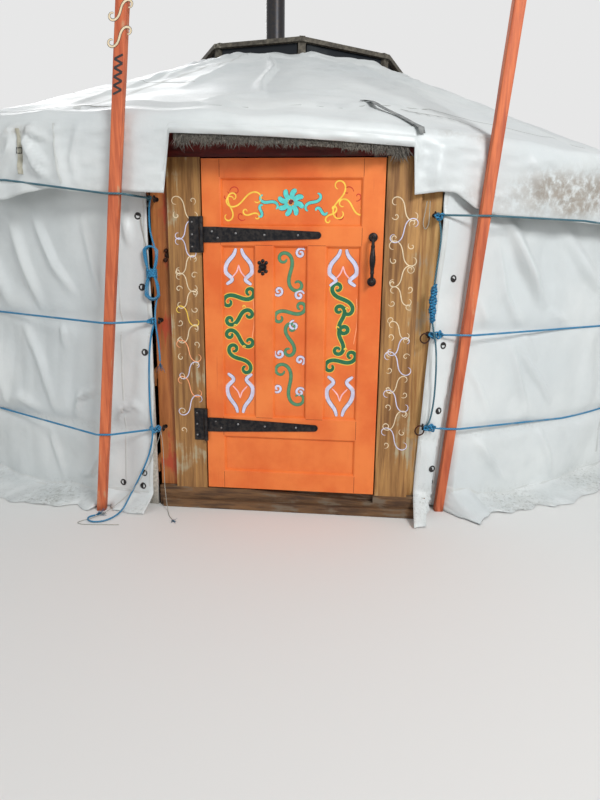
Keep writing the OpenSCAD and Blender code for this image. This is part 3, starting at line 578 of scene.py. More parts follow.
GIRTHS = {
    "eave_rope": ((2.7901, 1.427, 0.6, 2.5), (29.4, 332.8),
                  [(603.8, -2726.2, 1350), (781.1, -2722.3, 1349.5), (841.1, -2722.3, 1349.5)],
                  [(-758.5, -2752.9, 1417.1), (-698.5, -2752.9, 1417.1), (-609.1, -2620.4, 1412.6)]),
    "middle_rope": ((2.6851, MIDDLE_Z, MIDDLE_TILT, 0), (34.2, 323.7),
                    [(606, -2724.5, 851.8), (744.3, -2700.1, 848.6), (804.3, -2700.1, 848.6)],
                    [(-818.8, -2729.5, 888.4), (-758.8, -2729.5, 888.4), (-611.2, -2613, 888)]),
    "lower_rope": ((2.6851, LOWER_Z, 0, 0), (31.9, 322.7),
                   [(608.3, -2721.4, 434.7), (712.6, -2681, 416.6), (772.6, -2681, 416.6)],
                   [(-876.7, -2707, 380.2), (-816.7, -2707, 380.2), (-610.2, -2607.9, 384.7)]),
}
print("girth ropes:", ", ".join(GIRTHS))

# %% [markdown]
# ## Girth ropes as pieces
# The circle and the two short runs are joined into one line. At its eye each
# end is wound twice round itself.

# %% Girth ropes
def round_corners(points, passes=3):
    """The same line with each corner pulled towards the mean of its neighbours."""
    for _ in range(passes):
        points = np.vstack([points[:1], 0.25 * points[:-2] + 0.5 * points[1:-1]
                            + 0.25 * points[2:], points[-1:]])
    return points


COIL_TURNS, COIL_PITCH, COIL_R, COIL_START = 2, 0.0065, 0.0078, -0.002
KNOT_ROPE_R = 0.0038


def end_coil(knot, toward):
    """A helix round a rope's end: the cosine of the turn to the side and its sine
    upwards, while it moves on by one pitch a turn."""
    way = unit(toward - knot)
    side = unit(np.cross(way, (0, 0, 1.0)))
    rise = np.cross(side, way)
    turn = np.linspace(0, COIL_TURNS * TAU, 40)[:, None]
    return (knot + way * (COIL_START + COIL_PITCH * turn / TAU)
            + COIL_R * (np.cos(turn) * side + np.sin(turn) * rise))


for name, (ring, (start, end), right_run, left_run) in GIRTHS.items():
    circle = girth_circle(*ring, start, end)
    first, last = (round_corners(even_line(np.array(run) * MM, 0.006))
                   for run in (right_run, left_run))
    line = np.vstack([first, even_line(np.vstack([first[-1], circle[0]]), 0.02)[1:-1], circle,
                      even_line(np.vstack([circle[-1], last[0]]), 0.02)[1:-1], last])
    shape = Shape().tube(line, ROPE / 2, 8)
    for knot, toward in ((first[0], first[1]), (last[-1], last[-2])):
        shape.tube(end_coil(knot, toward), KNOT_ROPE_R, 8)
    finish = rope_teal if name == "eave_rope" else rope_blue
    settle(shape.make(name + "_laid", finish), "tent", "rope_blue", name)
    print(name, round(line_length(line), 2), "m of rope")

# %% [markdown]
# ## How cloth is shaped here
# The covers are not simulated. Each is a surface over two directions, and a
# formula says how far it stands off the wall at every place. Two kinds of
# shape add up: a ripple, which is a mean of slow waves at random angles, and
# creases, which are ridges along lines read off the picture. Ropes hold the
# cloth, so both fade to nothing there.

# %% Ripples and creases
def ripple(u, v, seed, size, waves=7):
    """A wavy height between about -1 and 1: the sum of a few sine waves of random
    direction and start, and a length near the given size."""
    rng = np.random.default_rng(seed)
    total = 0
    for _ in range(waves):
        angle, start = rng.uniform(0, TAU, 2)
        wave = TAU / (size * rng.uniform(0.7, 1.5))
        total = total + np.sin(wave * (u * math.cos(angle) + v * math.sin(angle)) + start)
    return total / math.sqrt(waves / 2) / 2


def crease(u, v, points, width, height, skew=0.0):
    """A ridge along a line of points.

    Across the line it is a bell, exp(-(distance / width)^2), and along it the
    height fades at both ends. A skew makes the side under the line steeper."""
    points = np.asarray(points, float)
    best = np.zeros(np.broadcast(u, v).shape)
    run = run_along(points)
    for (u0, v0), (u1, v1), before, after in zip(points, points[1:], run, run[1:]):
        du, dv, long = u1 - u0, v1 - v0, after - before
        along = ((u - u0) * du + (v - v0) * dv) / long
        off = ((u - u0) * dv - (v - v0) * du) / long
        past = np.maximum(np.maximum(-along, along - long), 0)
        share = np.clip((before + np.clip(along, 0, long)) / run[-1], 0, 1)
        wide = width * np.where(off > 0, 1 + skew, 1 - skew)
        here = np.exp(-(off / wide) ** 2 - (past / width) ** 2)
        best = np.maximum(best, here * (0.25 + 0.75 * np.sin(math.pi * share)))
    return best * height


def held(height, rope, reach=0.035):
    """A factor that is 0 at a rope and 1 away from it."""
    return 1 - np.exp(-((height - rope) / reach) ** 2)


def solid_cloth(piece, thickness, offset):
    """Gives a surface a thickness. An offset of -1 lays it all on the inside."""
    skin = piece.modifiers.new("thickness", "SOLIDIFY")
    skin.thickness = thickness
    skin.offset = offset
    return piece


print("a ripple's height at one place:", round(float(ripple(1.0, 0.5, 21, 0.8)), 3))

# %% [markdown]
# ## The finish of the covers
# The sheet is a coated cloth, off-white and a little shiny. Its dirt has three
# causes, and each one is a mask: dust in large faint clouds, mould where the
# skirt is wet from the ground, and brown streaks where water runs off the hem.
# The streaks are drawn by a value that the mesh carries at each point. On the
# right valance that value also carries painted shade, in broad patches.

# %% Cover finish
def cover_finish():
    f = Finish("cover_sheet", 0.42)
    cloud = f.noise(1.3, 5, 0.6)
    speck = f.noise(26, 5, 0.7)
    mould = f.noise(60, 6, 0.75)
    tone = f.mix(f.spread(cloud, 0.3, 0.7), shade(206, 212, 213), shade(222, 226, 225))
    tone = f.mix(f.spread(f.noise(5, 4), 0.45, 0.8, 0, 0.35), tone, shade(188, 194, 194))
    # The stain value turns the cloth brown: real stain, and on the right valance painted shade as well.
    stain_and_shade = f.add("ShaderNodeAttribute", attribute_name="stain_and_shade").outputs["Fac"]
    brown_and_shade = f.math("MULTIPLY", stain_and_shade, f.spread(speck, 0.3, 0.62))
    tone = f.mix(f.math("MULTIPLY", brown_and_shade, 0.75), tone, shade(132, 116, 98))
    wet = f.add("ShaderNodeAttribute", attribute_name="mould").outputs["Fac"]
    tone = f.mix(f.math("MULTIPLY", f.math("MULTIPLY", wet, 0.6), f.spread(speck, 0.25, 0.7)),
                 tone, shade(134, 132, 116))
    spots = f.math("MULTIPLY", wet, f.spread(mould, 0.5, 0.62))
    tone = f.mix(f.math("MULTIPLY", spots, 0.8), tone, shade(74, 72, 62))
    f.colour(tone)
    f.dull(f.spread(cloud, 0.3, 0.7, 0.38, 0.5))
    f.bump((f.noise(7, 4, 0.6), 0.004), (f.noise(900, 2), 0.00012))
    return f


def speckled(name, scale, detail, dark, light, roughness, metallic=0.0):
    """A finish that wavers between two colours."""
    f = Finish(name, roughness, metallic)
    return f.colour(f.mix(f.noise(scale, detail), dark, light))


cover_sheet = cover_finish()
seam_cloth = speckled("seam_cloth", 14, 4, shade(186, 190, 188), shade(218, 221, 219), 0.5)
seam_cloth.bump((seam_cloth.cells(260), 0.0006))
seam_shadow = speckled("seam_shadow", 9, 4, shade(138, 140, 136), shade(186, 190, 188), 0.7)
eyelet_iron_and_hole_shade = speckled("eyelet_iron_and_hole_shade", 90, 3, shade(22, 22, 24), shade(52, 50, 50), 0.6, 0.1)
print("the cover's finish has", len(cover_sheet.tree.nodes), "nodes")

# %% [markdown]
# ## The line of the wall in plan
# Two sheets go round the wall, from the door posts to a lap at the back. In
# plan each follows a line: the left one is a circle, and the right one laps
# over the post, turns a corner and runs straight to where it meets the circle.
# A sheet is then worked out in its own metres: along that line, up, and out.

# %% Plan of the wall covers
WALL_R = 2.681
LEFT_START = 0.62
CORNER, TANGENT = np.array([0.632, -2.703]), np.array([1.2586, -2.3672])
POST_WAY = np.array([0.9945, -0.1045])


def left_plan(s):
    """Plan point and outward direction at s metres from x = -0.62, going left."""
    out = around(-math.asin(LEFT_START / WALL_R) - s / WALL_R, 1.0)
    return WALL_R * out, out


def right_plan(s):
    """The same for the right sheet, with s = 0 at the corner by the post. A
    running mean over 5 cm rounds that corner."""
    grid = np.arange(-0.3, 9.2, 0.005)
    long = np.linalg.norm(TANGENT - CORNER)
    post = CORNER + grid[:, None] * POST_WAY
    straight = CORNER + grid[:, None] * (TANGENT - CORNER) / long
    circle = around(math.radians(28) + (grid - long) / WALL_R, WALL_R)
    line = np.where(grid[:, None] < 0, post, np.where(grid[:, None] < long, straight, circle))
    soft = np.stack([np.convolve(np.pad(line[:, k], 4, "edge"), np.ones(9) / 9, "valid")
                     for k in (0, 1)], 1)
    soft[:4], soft[-4:] = line[:4], line[-4:]
    way = np.gradient(soft, axis=0)
    out = unit(np.stack([way[:, 1], -way[:, 0]], 1))
    point = np.stack([np.interp(s, grid, soft[:, k]) for k in (0, 1)], -1)
    return point, np.stack([np.interp(s, grid, out[:, k]) for k in (0, 1)], -1)


def at_azimuth(plan, side):
    """A way from degrees round the tent to metres along a sheet."""
    s = np.linspace(-0.25, 8.3, 1800)
    point, _ = plan(s)
    a = np.degrees(np.arctan2(side * point[:, 0], -point[:, 1]))
    a = np.where(a < 0, a + 360, a)
    return lambda degrees: np.interp(np.abs(degrees), a, s)


def strip(plan, s, z, off):
    """Points of a sheet: plan point plus the offset outwards, at the height z."""
    s, z, off = np.broadcast_arrays(s, z, off)
    point, out = plan(s)
    return np.concatenate([point + off[..., None] * out, z[..., None]], -1)


print("the right sheet turns the post's corner at", right_plan(0.0)[0].round(3))

# %% [markdown]
# ## The cloth behind the props
# Two props lean on the covers, and the cloth lies close behind them. So near a
# prop a sheet may not come further out than the prop's back. For each prop the
# table has its foot to the side, its lean as a tangent and where its back face
# meets the ground.

# %% Cloth behind the props
PROP_BACKS = {-1: (-0.890, 0.1139, -2.6349), 1: (0.712, 0.0734, -2.6074)}
PROP_RAKE = 0.0443


def behind_prop(plan, side, s, z, off):
    """The same offset, made smaller where the sheet would go through a prop.

    The limit is the back of the prop less 4 mm, and to each side it runs forward
    again. A point past it goes back along its own outward direction, a few times
    over because going back also shifts it sideways."""
    foot, lean, back = PROP_BACKS[side]
    s, z, off = np.broadcast_arrays(s, z, off)
    point, out = plan(s)
    low = np.clip((0.2 - z) / 0.15, 0, 1)
    for _ in range(5):
        place = point + off[..., None] * out
        away = side * (foot + z * lean - place[..., 0])
        past = np.maximum(np.abs(away) - 0.027, 0)
        slope = np.where(away > 0, 2.2 + 1.3 * low, 0.8 + 1.6 * low)
        limit = back + 0.004 - PROP_RAKE * z - slope * past
        front = place[..., 1] < -2
        off = off - front * np.maximum(limit - place[..., 1], 0) / np.maximum(-out[..., 1], 0.3)
    return off


print("a sheet that stands out 0.2 m behind the left prop keeps",
      round(float(behind_prop(left_plan, -1, 0.22, 0.5, 0.2)), 3), "m")

# %% [markdown]
# ## How far the wall cloth stands off
# Ripples and creases add up, and the ropes hold them flat. Below the hem the
# cloth flares out and lies on the ground as a ragged skirt. The two functions
# beside the offset say how high the flare starts and how far out it goes.

# %% Form of a wall cover
def wall_form(plan, side, folds, hem, ground, seed):
    """Functions for a wall sheet at s metres along: its offset outwards at the
    height z, the height of its hem, and the place of an azimuth in metres."""
    to_s = at_azimuth(plan, side)

    def middle_rope(s):
        point, _ = plan(s)
        return MIDDLE_Z - point[..., 0] * math.sin(math.radians(MIDDLE_TILT))

    def offset(s, z):
        base = 0.010 + 0.009 * ripple(s, z, seed, 0.8) + 0.006 * ripple(s, 0.55 * z, seed + 1, 0.26)
        base = base + 0.007 * np.abs(ripple(s, 0.3 * z, seed + 2, 0.17)) * np.clip(1.2 - z, 0, 1)
        for points, width, height, skew in folds:
            line = [(to_s(a), h) for a, h in points]
            base = base + crease(s, z, line, 0.8 * width, 1.45 * height, skew)
        base = np.maximum(base, 0.0) * (1 - 0.7 * np.exp(-((z - 1.40) / 0.05) ** 2))
        base = base * held(z, middle_rope(s)) * held(z, LOWER_Z)
        low = to_hem(s)
        flare = np.clip((low - z) / np.maximum(low, 0.01), 0, 1)
        loose = base * (1 - 0.5 * flare) + flare ** 1.4 * to_ground(s)
        return behind_prop(plan, side, s, z, loose)

    def to_hem(s):
        return np.interp(s, [to_s(a) for a, _ in hem], [h for _, h in hem]) \
            + 0.012 * ripple(s, 0 * s, seed + 5, 0.35)

    def to_ground(s):
        near = np.interp(s, [to_s(a) for a, _ in ground], [r for _, r in ground])
        return near + 0.03 * np.abs(ripple(s, 0 * s, seed + 6, 0.22))

    return offset, to_hem, to_s


print("a wall cover's offset is a function of two places")

# %% [markdown]
# ## Making a wall cover
# The sheet is a grid with its free edge at the door. Its squares are finer near
# the door, where it is seen from close by, and near the ground.

# %% A wall cover
def wall_sheet(name, plan, side, edge, far, form, seed, node):
    """A wall cover: a grid with columns 12 mm apart near the door and 27 mm
    further round. The lowest row is pulled in and out to make a torn edge."""
    offset, to_hem, _ = form
    s = np.concatenate([np.arange(0, 1.7, 0.012), np.arange(1.7, far, 0.027), [far]])
    z = np.concatenate([np.linspace(0.0, 0.15, 15), np.linspace(0.165, 1.605, 84)])
    first = np.interp(z, *zip(*edge))
    near = np.clip(1 - s / 0.5, 0, 1) ** 2
    S = s[None, :] + first[:, None] * near[None, :]
    Z = np.repeat(z[:, None], len(s), 1)
    off = offset(S, Z)
    tear = 0.5 + 0.5 * ripple(S[:1], 0 * S[:1], seed + 9, 0.13)
    drop = np.clip((0.15 - Z) / 0.15, 0, 1)
    Z = Z + 0.0015 + 0.004 * drop * np.abs(ripple(S, 0 * S, seed + 7, 0.1))
    off = off - 0.035 * (drop > 0.999) * tear
    points = strip(plan, S, Z, off)
    uv = np.stack([S, Z], -1)
    low = to_hem(S)
    mould = (np.clip((low + 0.07 - Z) / 0.12, 0, 1) ** 1.5 * (0.35 + 0.4 * ripple(S, Z, seed + 11, 0.5))
             + 0.15 * np.exp(-((Z - LOWER_Z) / 0.02) ** 2))
    mould = np.clip(mould, 0, 1)
    cloth = Shape().grid(points[::-1], uv[::-1], flip=side < 0).make(
        name, cover_sheet, values={"mould": mould[::-1], "stain_and_shade": 0 * mould})
    return settle(solid_cloth(cloth, 0.0012, -1), "tent", "cover", node)


print("wall covers can be made")

# %% [markdown]
# ## Tapes of a wall cover
# Bands are welded along its edges, its hem and its joints. They are laid over it
# with the same offset, so they follow every fold.

# %% Tapes of a wall cover
TAPE = np.array([-0.5, -0.42, 0, 0.42, 0.5])
TAPE_RISE = np.array([-0.0006, 0.0012, 0.0016, 0.0012, -0.0006])


def wall_tapes(name, plan, side, edge, far, form):
    """Welded tapes of a wall cover: two up its free edge, one along the hem and
    an upright one at each joint of the cloth. In section a tape is a low arch."""
    offset, to_hem, to_s = form
    up = np.linspace(0.1, 1.58, 12)
    free = np.interp(up, *zip(*edge))
    reach = np.linspace(0.05, far - 0.05, 240)
    lines = [(zip(free + 0.012, up), 0.02), (zip(free + 0.152, up), 0.012),
             (zip(reach, to_hem(reach) + 0.006), 0.022)]
    lines += [([(to_s(a), 0.12), (to_s(a), 1.58)], 0.03) for a in range(40, 176, 34)]
    tapes = Shape()
    for places, width in lines:
        line = even_line(list(places), 0.015)
        way = unit(np.gradient(line, axis=0))
        cross = np.stack([-way[:, 1], way[:, 0]], 1)
        s_z = line[:, None, :] + width * TAPE[None, :, None] * cross[:, None, :]
        s, z = s_z[..., 0], s_z[..., 1]
        tapes.grid(strip(plan, s, z, offset(s, z) + TAPE_RISE), s_z, flip=side > 0)
    return settle(tapes.make(name, seam_cloth), "tent", "cover")


print("a tape is", len(TAPE), "points wide")

# %% [markdown]
# ## Eyelets
# Black rings are pressed into the free edges. Each is a thin tube bent to a
# circle, with a dark disc behind it that is painted shade in the hole, and it
# lies on the cloth wherever that is.

# %% Eyelets
EYELET_R, EYELET_WIRE_R = 0.0125, 0.0038


def eyelets(name, plan, form, places):
    """Rings at a list of (azimuth, height), each with a disc of painted shade in
    its hole.
    """
    offset, _, to_s = form
    shape = Shape()
    turn = np.linspace(0, TAU, 17)
    for azimuth, z in places:
        s = to_s(azimuth)
        off = offset(np.array(s), np.array(z))
        ring_s, ring_z = s + EYELET_R * np.cos(turn), z + EYELET_R * np.sin(turn)
        shape.tube(strip(plan, ring_s, ring_z, off + 0.0016), EYELET_WIRE_R, 6)
        # Painted shade: a dark disc fills the hole of the ring.
        shape.grid(strip(plan, np.stack([ring_s, 0 * turn + s]), np.stack([ring_z, 0 * turn + z]),
                         off + 0.0012))
    return settle(shape.make(name, eyelet_iron_and_hole_shade), "tent", "ironwork")


print("eyelets can be made")

# %% [markdown]
# ## Folds of the wall covers
# A crease is a list of places, its width, its height and its skew. A place is
# an azimuth in degrees and a height in metres. The ones beside the door follow
# the picture. Those further round are plain, because nothing shows them.

# %% Folds of the wall covers
LEFT_FOLDS = [
    ([(30.5, 1.348), (28.6, 1.12), (26.6, 0.909)], 0.035, 0.02, 0.3),
    ([(27, 1.393), (24.15, 1.122), (22.1, 1.006)], 0.028, 0.016, -0.3),
    ([(36.5, 1.33), (33, 1.05), (31.5, 0.93)], 0.045, 0.018, 0.2),
    ([(24.04, 0.86), (23.5, 0.74)], 0.02, 0.01, 0),
    ([(15.7, 1.357), (15.36, 1.222)], 0.02, 0.016, 0.2),
    ([(22.89, 0.401), (22.04, 0.506), (20.21, 0.543), (19.25, 0.532)], 0.018, 0.02, 0.4),
    ([(17.67, 0.401), (17.13, 0.458), (15.83, 0.491), (14.96, 0.475)], 0.016, 0.018, 0.4),
    ([(22.83, 0.091), (21.45, 0.116), (19.99, 0.224)], 0.018, 0.02, 0.3),
    ([(33.84, 0.404), (31, 0.46), (27.93, 0.4)], 0.03, 0.014, 0.3),
    ([(29.5, 0.85), (27.2, 0.64), (25.8, 0.42)], 0.03, 0.013, 0.2),
    ([(36, 0.84), (34.5, 0.62), (33.5, 0.4)], 0.035, 0.015, 0.2),
    ([(27, 0.33), (26, 0.2), (25.6, 0.08)], 0.025, 0.012, 0),
    ([(20.5, 1.35), (19.6, 1.16), (18.4, 0.93)], 0.02, 0.008, 0),
]
RIGHT_FOLDS = [
    ([(20.59, 1.339), (22.86, 1.169), (26.34, 0.971)], 0.045, 0.042, -0.4),
    ([(19.56, 1.244), (21.12, 1.017), (23.73, 0.859), (26.38, 0.716)], 0.025, 0.016, 0.2),
    ([(17.9, 0.993), (19.19, 0.864)], 0.022, 0.012, 0),
    ([(27.94, 0.929), (31.43, 0.854)], 0.022, 0.012, 0),
    ([(22.67, 0.784), (24.3, 0.6), (25.64, 0.421)], 0.024, 0.016, 0.3),
    ([(23.18, 0.787), (26.4, 0.62), (29.28, 0.473)], 0.024, 0.016, -0.2),
    ([(17.89, 0.413), (20.6, 0.24), (23.23, 0.105)], 0.024, 0.013, 0.2),
    ([(29, 1.3), (33, 1.12), (37, 1)], 0.05, 0.026, -0.3),
    ([(27.5, 0.36), (29.5, 0.2), (30.5, 0.08)], 0.026, 0.014, 0),
    ([(16.5, 0.72), (18.5, 0.6), (20.5, 0.42)], 0.018, 0.009, 0),
]
BACK_FOLDS = [
    ([(a, top), (a + lean, (top + foot) / 2 + 0.03), (a + 1.6 * lean, foot)], wide, high, skew)
    for a, top, foot, lean, wide, high, skew in (
        (48, 1.38, 0.93, 3, 0.045, 0.022, 0.3), (57, 0.84, 0.42, 2, 0.035, 0.015, 0.2),
        (66, 1.42, 0.95, -3, 0.05, 0.024, -0.3), (74, 0.8, 0.4, 3, 0.035, 0.016, 0.2),
        (83, 1.38, 1.0, 2, 0.04, 0.018, 0.0), (92, 0.84, 0.45, -3, 0.04, 0.018, -0.2),
        (101, 1.4, 0.93, 4, 0.05, 0.024, 0.3), (112, 0.82, 0.42, 2, 0.035, 0.014, 0.0),
        (121, 1.36, 0.95, -2, 0.045, 0.020, -0.3), (133, 0.84, 0.4, 3, 0.04, 0.016, 0.2),
        (144, 1.4, 0.98, 3, 0.05, 0.023, 0.3), (155, 0.8, 0.42, -3, 0.035, 0.015, 0.0),
        (165, 1.38, 0.95, 2, 0.045, 0.020, -0.2))]
print("creases read off:", len(LEFT_FOLDS), "left,", len(RIGHT_FOLDS), "right")

# %% [markdown]
# ## The two wall covers
# The free edge is a list of heights, each with how far it lies from the start
# of the sheet. The hem and the reach of the skirt on the ground are lists of
# azimuths with a height or a distance.

# %% Wall covers
LEFT_EDGE = [(0, 0.028), (0.125, 0.027), (0.5, 0.01), (0.936, 0), (1.427, 0.008), (1.7, 0.01)]
LEFT_HEM = [(14, 0.074), (17.5, 0.065), (22, 0.03), (30, 0.012), (60, 0.05), (120, 0.07), (178, 0.06)]
LEFT_SKIRT = [
    (14, 0.125), (16.4, 0.127), (18.4, 0.145), (20.6, 0.140), (21.9, 0.138), (24.3, 0.21), (29, 0.248),
    (45, 0.2), (90, 0.2), (178, 0.18)]
RIGHT_EDGE = [(0, -0.06), (0.194, -0.056), (0.7, -0.033), (1.1, -0.01), (1.4, 0), (1.7, 0.002)]
RIGHT_HEM = [
    (13, 0.13), (18.4, 0.086), (19.2, 0.055), (23.9, 0.018), (40, 0.03), (120, 0.07), (178, 0.05)]
RIGHT_SKIRT = [
    (12, 0.15), (14.2, 0.098), (15.6, 0.09), (16.05, 0.13), (15.95, 0.218), (17.9, 0.15), (19.2, 0.133),
    (23.2, 0.188), (25.5, 0.147), (26.4, 0.195), (45, 0.2), (90, 0.2), (178, 0.18)]
LEFT_EYES = [
    (14.39, 1.34), (14.22, 1.037), (14.22, 0.746), (14.86, 0.165), (15.06, 0.1), (17.53, 0.1)]
RIGHT_EYES = [(14.6, 1.091), (13.98, 0.801), (13.74, 0.508), (13.64, 0.23), (14.2, 0.148)]
for name, plan, side, edge, far, folds, hem, skirt, eyes, seed, node, flat in (
        ("left_wall", left_plan, -1, LEFT_EDGE, 7.86, LEFT_FOLDS, LEFT_HEM, LEFT_SKIRT, LEFT_EYES,
         21, "wall_cover_left", (7.9, 1.765)),
        ("right_wall", right_plan, 1, RIGHT_EDGE, 7.94, RIGHT_FOLDS, RIGHT_HEM, RIGHT_SKIRT,
         RIGHT_EYES, 40, "wall_cover_right", (8.0, 1.77))):
    form = wall_form(plan, side, folds + BACK_FOLDS, hem, skirt, seed)
    sheet = wall_sheet(name + "_sheet", plan, side, edge, far, form, seed, node)
    wall_tapes(name + "_sheet_seams", plan, side, edge, far, form)
    eyelets(name + "_eyelets", plan, form, eyes)
    print(name, "sheet:", len(sheet.data.polygons), "squares")

# %% [markdown]
# ## The lean of the roof
# The roof has settled to one side, and it leans by two and a half degrees. So
# the cover is worked out upright, and one function turns it at the end. Square
# to the roof's slope means a little outwards and mostly upwards.

# %% Lean of the roof
EAVE_R, CROWN_R, SHOULDER = 2.785, 0.872, 0.022
OUTWARDS, UPWARDS = 0.39, 0.92
SLOPE = math.tan(math.radians(23.05))
LEAN = math.radians(2.5)


def settled(points):
    """Turns points round the Y axis at the height of the eave, as the roof has."""
    x, y, z = points[..., 0], points[..., 1], points[..., 2] - EAVE_Z
    return np.stack([x * math.cos(LEAN) + z * math.sin(LEAN), y,
                     EAVE_Z - x * math.sin(LEAN) + z * math.cos(LEAN)], -1)


print("the eave's low side lies at", settled(np.array([EAVE_R, 0, EAVE_Z])).round(3))

# %% [markdown]
# ## How far the roof stands off its cone
# The cover is a cone from under the lantern down to the eave, with ripples,
# wrinkles, ridges and folds on it. A fold is a list of (azimuth, radius), its
# width, its height and its skew.

# %% Folds of the roof
ROOF_FOLDS = [
    ([(-10.6, 1.132), (-7, 1.35), (-5.2, 1.537), (-5, 2.03), (-3.5, 2.402)], 0.035, 0.02, 0.4),
    ([(-22.7, 2.75), (-18.8, 2.66), (-9, 2.64), (-4.1, 2.58), (0.6, 2.548), (7.3, 2.445),
      (14.2, 2.373), (16.7, 2.452)], 0.028, 0.014, -0.5),
    ([(-14.4, 2.195), (-15.1, 1.546), (-8.9, 1.222)], 0.04, 0.014, 0.2),
    ([(-9.2, 2.55), (-5.5, 2.373), (-3.9, 2.289)], 0.03, 0.012, 0.2),
    ([(-2.5, 2.274), (0.5, 2.192), (5.6, 2.166), (9.3, 2.389)], 0.035, 0.013, 0.3),
    ([(10.3, 1.058), (18.1, 1.536), (20.7, 2.094)], 0.05, 0.016, -0.3),
    ([(8.7, 1.552), (15.8, 1.974), (18.4, 2.434)], 0.045, 0.015, 0.3),
    ([(11.1, 2.453), (13.5, 2.552), (17, 2.71)], 0.025, 0.01, 0),
    ([(-26, 1.5), (-24, 2), (-23, 2.6)], 0.05, 0.014, 0.3),
    ([(27, 1.4), (30, 2), (29, 2.6)], 0.05, 0.014, -0.3),
    ([(-22, 1.1), (-12, 1.06), (-4, 1.1)], 0.022, 0.012, 0.3),
    ([(-3, 1.02), (5, 1.1), (14, 1.08)], 0.02, 0.012, -0.3),
    ([(-16, 1.3), (-8, 1.22), (2, 1.27), (12, 1.2)], 0.022, 0.011, 0.3),
    ([(4, 1.35), (12, 1.42), (20, 1.36)], 0.02, 0.01, -0.2),
    ([(-2, 1.48), (6, 1.55), (13, 1.5)], 0.022, 0.01, 0.3),
    ([(16, 1.05), (24, 1.25), (30, 1.6)], 0.025, 0.012, 0.2),
    ([(-30, 1.2), (-24, 1.5), (-22, 1.9)], 0.03, 0.012, -0.2),
]


def roof_lift(a, r, x, y):
    """How far the cover stands off its cone: ripples, waves along the slope that
    die away from the crown, a faint ridge over each of 48 poles, and folds."""
    lift = 0.012 + 0.010 * ripple(x, y, 61, 0.9) + 0.005 * ripple(x, y, 62, 0.28)
    near = np.exp(-((r - 0.9) / 0.33) ** 2)
    wave = (r - 0.87 + 0.05 * ripple(x, y, 63, 0.5)) * TAU / 0.085
    lift = lift + near * 0.009 * (1 + np.sin(wave)) * (1 + 0.9 * ripple(x, y, 64, 0.35))
    lift = lift + 0.0035 * np.cos(48 * a) * np.clip((r - 1.0) / 1.5, 0, 1)
    lift = lift + 0.004 * np.sin(26 * a + 2 * ripple(x, y, 65, 1.0)) * near
    plain = [([(d, 1.2), (d + 5 * math.sin(d), 1.8), (d + 7 * math.sin(2.3 * d), 2.5)],
              0.05 / 0.75, 0.013 / 1.3, 0.3) for d in range(50, 330, 20)]
    for places, width, height, skew in ROOF_FOLDS + plain:
        degrees, radius = np.array(places).T
        lift = lift + crease(x, y, around(np.radians(degrees), radius), 0.75 * width,
                             1.3 * height, skew)
    return np.maximum(lift, 0.002) * (1 - np.exp(-((r - CROWN_R) / 0.05) ** 2))


def cover_place(degrees, radius, lift):
    """A point on the cover's slope, raised square to it by the folds and a lift."""
    a, r = np.radians(np.asarray(degrees, float)), np.asarray(radius, float)
    up = roof_lift(a, r, r * np.sin(a), -r * np.cos(a)) + lift
    return around(a, r + OUTWARDS * up, EAVE_Z + (EAVE_R - r) * SLOPE + UPWARDS * up)


print("folds read off on the roof:", len(ROOF_FOLDS))

# %% [markdown]
# ## The valance
# At the eave the cover turns down and hangs over the wall. This hanging part is
# the valance, and over the door it is cut away. A fold is a list of (azimuth,
# share of the way down), its width, its height and its skew.

# %% Hem and folds of the valance
DROP = 0.29
NOTCH = math.degrees(math.asin(0.490 / 2.79))
BAND_Z = 1.629
HEM_X = [-1.338, -1.04, -0.855, -0.703, -0.473, 0.475, 0.612, 0.682, 0.787, 0.903, 1.454]
HEM_OFF = [-0.054, 0.007, -0.01, 0, 0, 0.042, 0.068, 0.07, 0.014, -0.005, 0.007]


def hem_height(a):
    """Height of the valance's hem before the lean: read off in front, and a ripple
    about 1.4 m round the rest."""
    x = EAVE_R * np.sin(a)
    front = np.cos(a) > 0
    read = np.interp(x, HEM_X, HEM_OFF)
    loose = 0.012 * ripple(EAVE_R * a, 0 * a, 71, 0.7)
    share = np.where(front, np.clip((np.abs(x) - 1.3) / 0.3, 0, 1), 1)
    return 1.400 + np.where(front, read * (1 - share), 0) + share * loose


VALANCE_FOLDS = [
    ([(-20.92, 0.05), (-20.96, 0.35), (-20.64, 0.75), (-20.29, 0.95)], 0.01, 0.006, 0),
    ([(-25.4, 0.06), (-26.6, 0.25), (-29, 0.42)], 0.022, 0.024, 0.3),
    ([(-23.4, 0.08), (-24, 0.4), (-22.6, 0.85)], 0.016, 0.018, 0.3),
    ([(-27.6, 0.1), (-30.2, 0.28), (-33.5, 0.45)], 0.02, 0.02, 0.2),
    ([(-18.4, 0.12), (-19.3, 0.55), (-18.8, 0.92)], 0.015, 0.01, 0),
    ([(-25.2, 0.12), (-26, 0.45), (-28.2, 0.8)], 0.02, 0.022, -0.3),
    ([(-24.4, 0.06), (-23.2, 0.22), (-21.9, 0.3)], 0.016, 0.02, 0.3),
    ([(-24.4, 0.15), (-23.4, 0.45), (-22, 0.66)], 0.018, 0.024, -0.3),
    ([(-24.2, 0.45), (-23.2, 0.7), (-21.6, 0.88)], 0.014, 0.014, 0.2),
    ([(-33.5, 0.05), (-31.5, 0.3), (-30, 0.75)], 0.022, 0.018, 0.3),
    ([(12.8, 0.1), (12.4, 0.5), (13.18, 0.9)], 0.05, 0.02, 0.2),
    ([(9.9, 0.12), (10.8, 0.4)], 0.02, 0.012, 0),
    ([(16, 0.1), (17.2, 0.5), (17, 0.95)], 0.022, 0.01, 0),
    ([(21.5, 0.1), (22.6, 0.55), (24.4, 0.95)], 0.03, 0.014, 0.3),
]
print("folds read off on the valance:", len(VALANCE_FOLDS))

# %% [markdown]
# ## How far the valance stands off
# Cloth that hangs free opens into folds towards its hem. The eave rope is tied
# over the valance, a little above the hem, and holds it flat there.

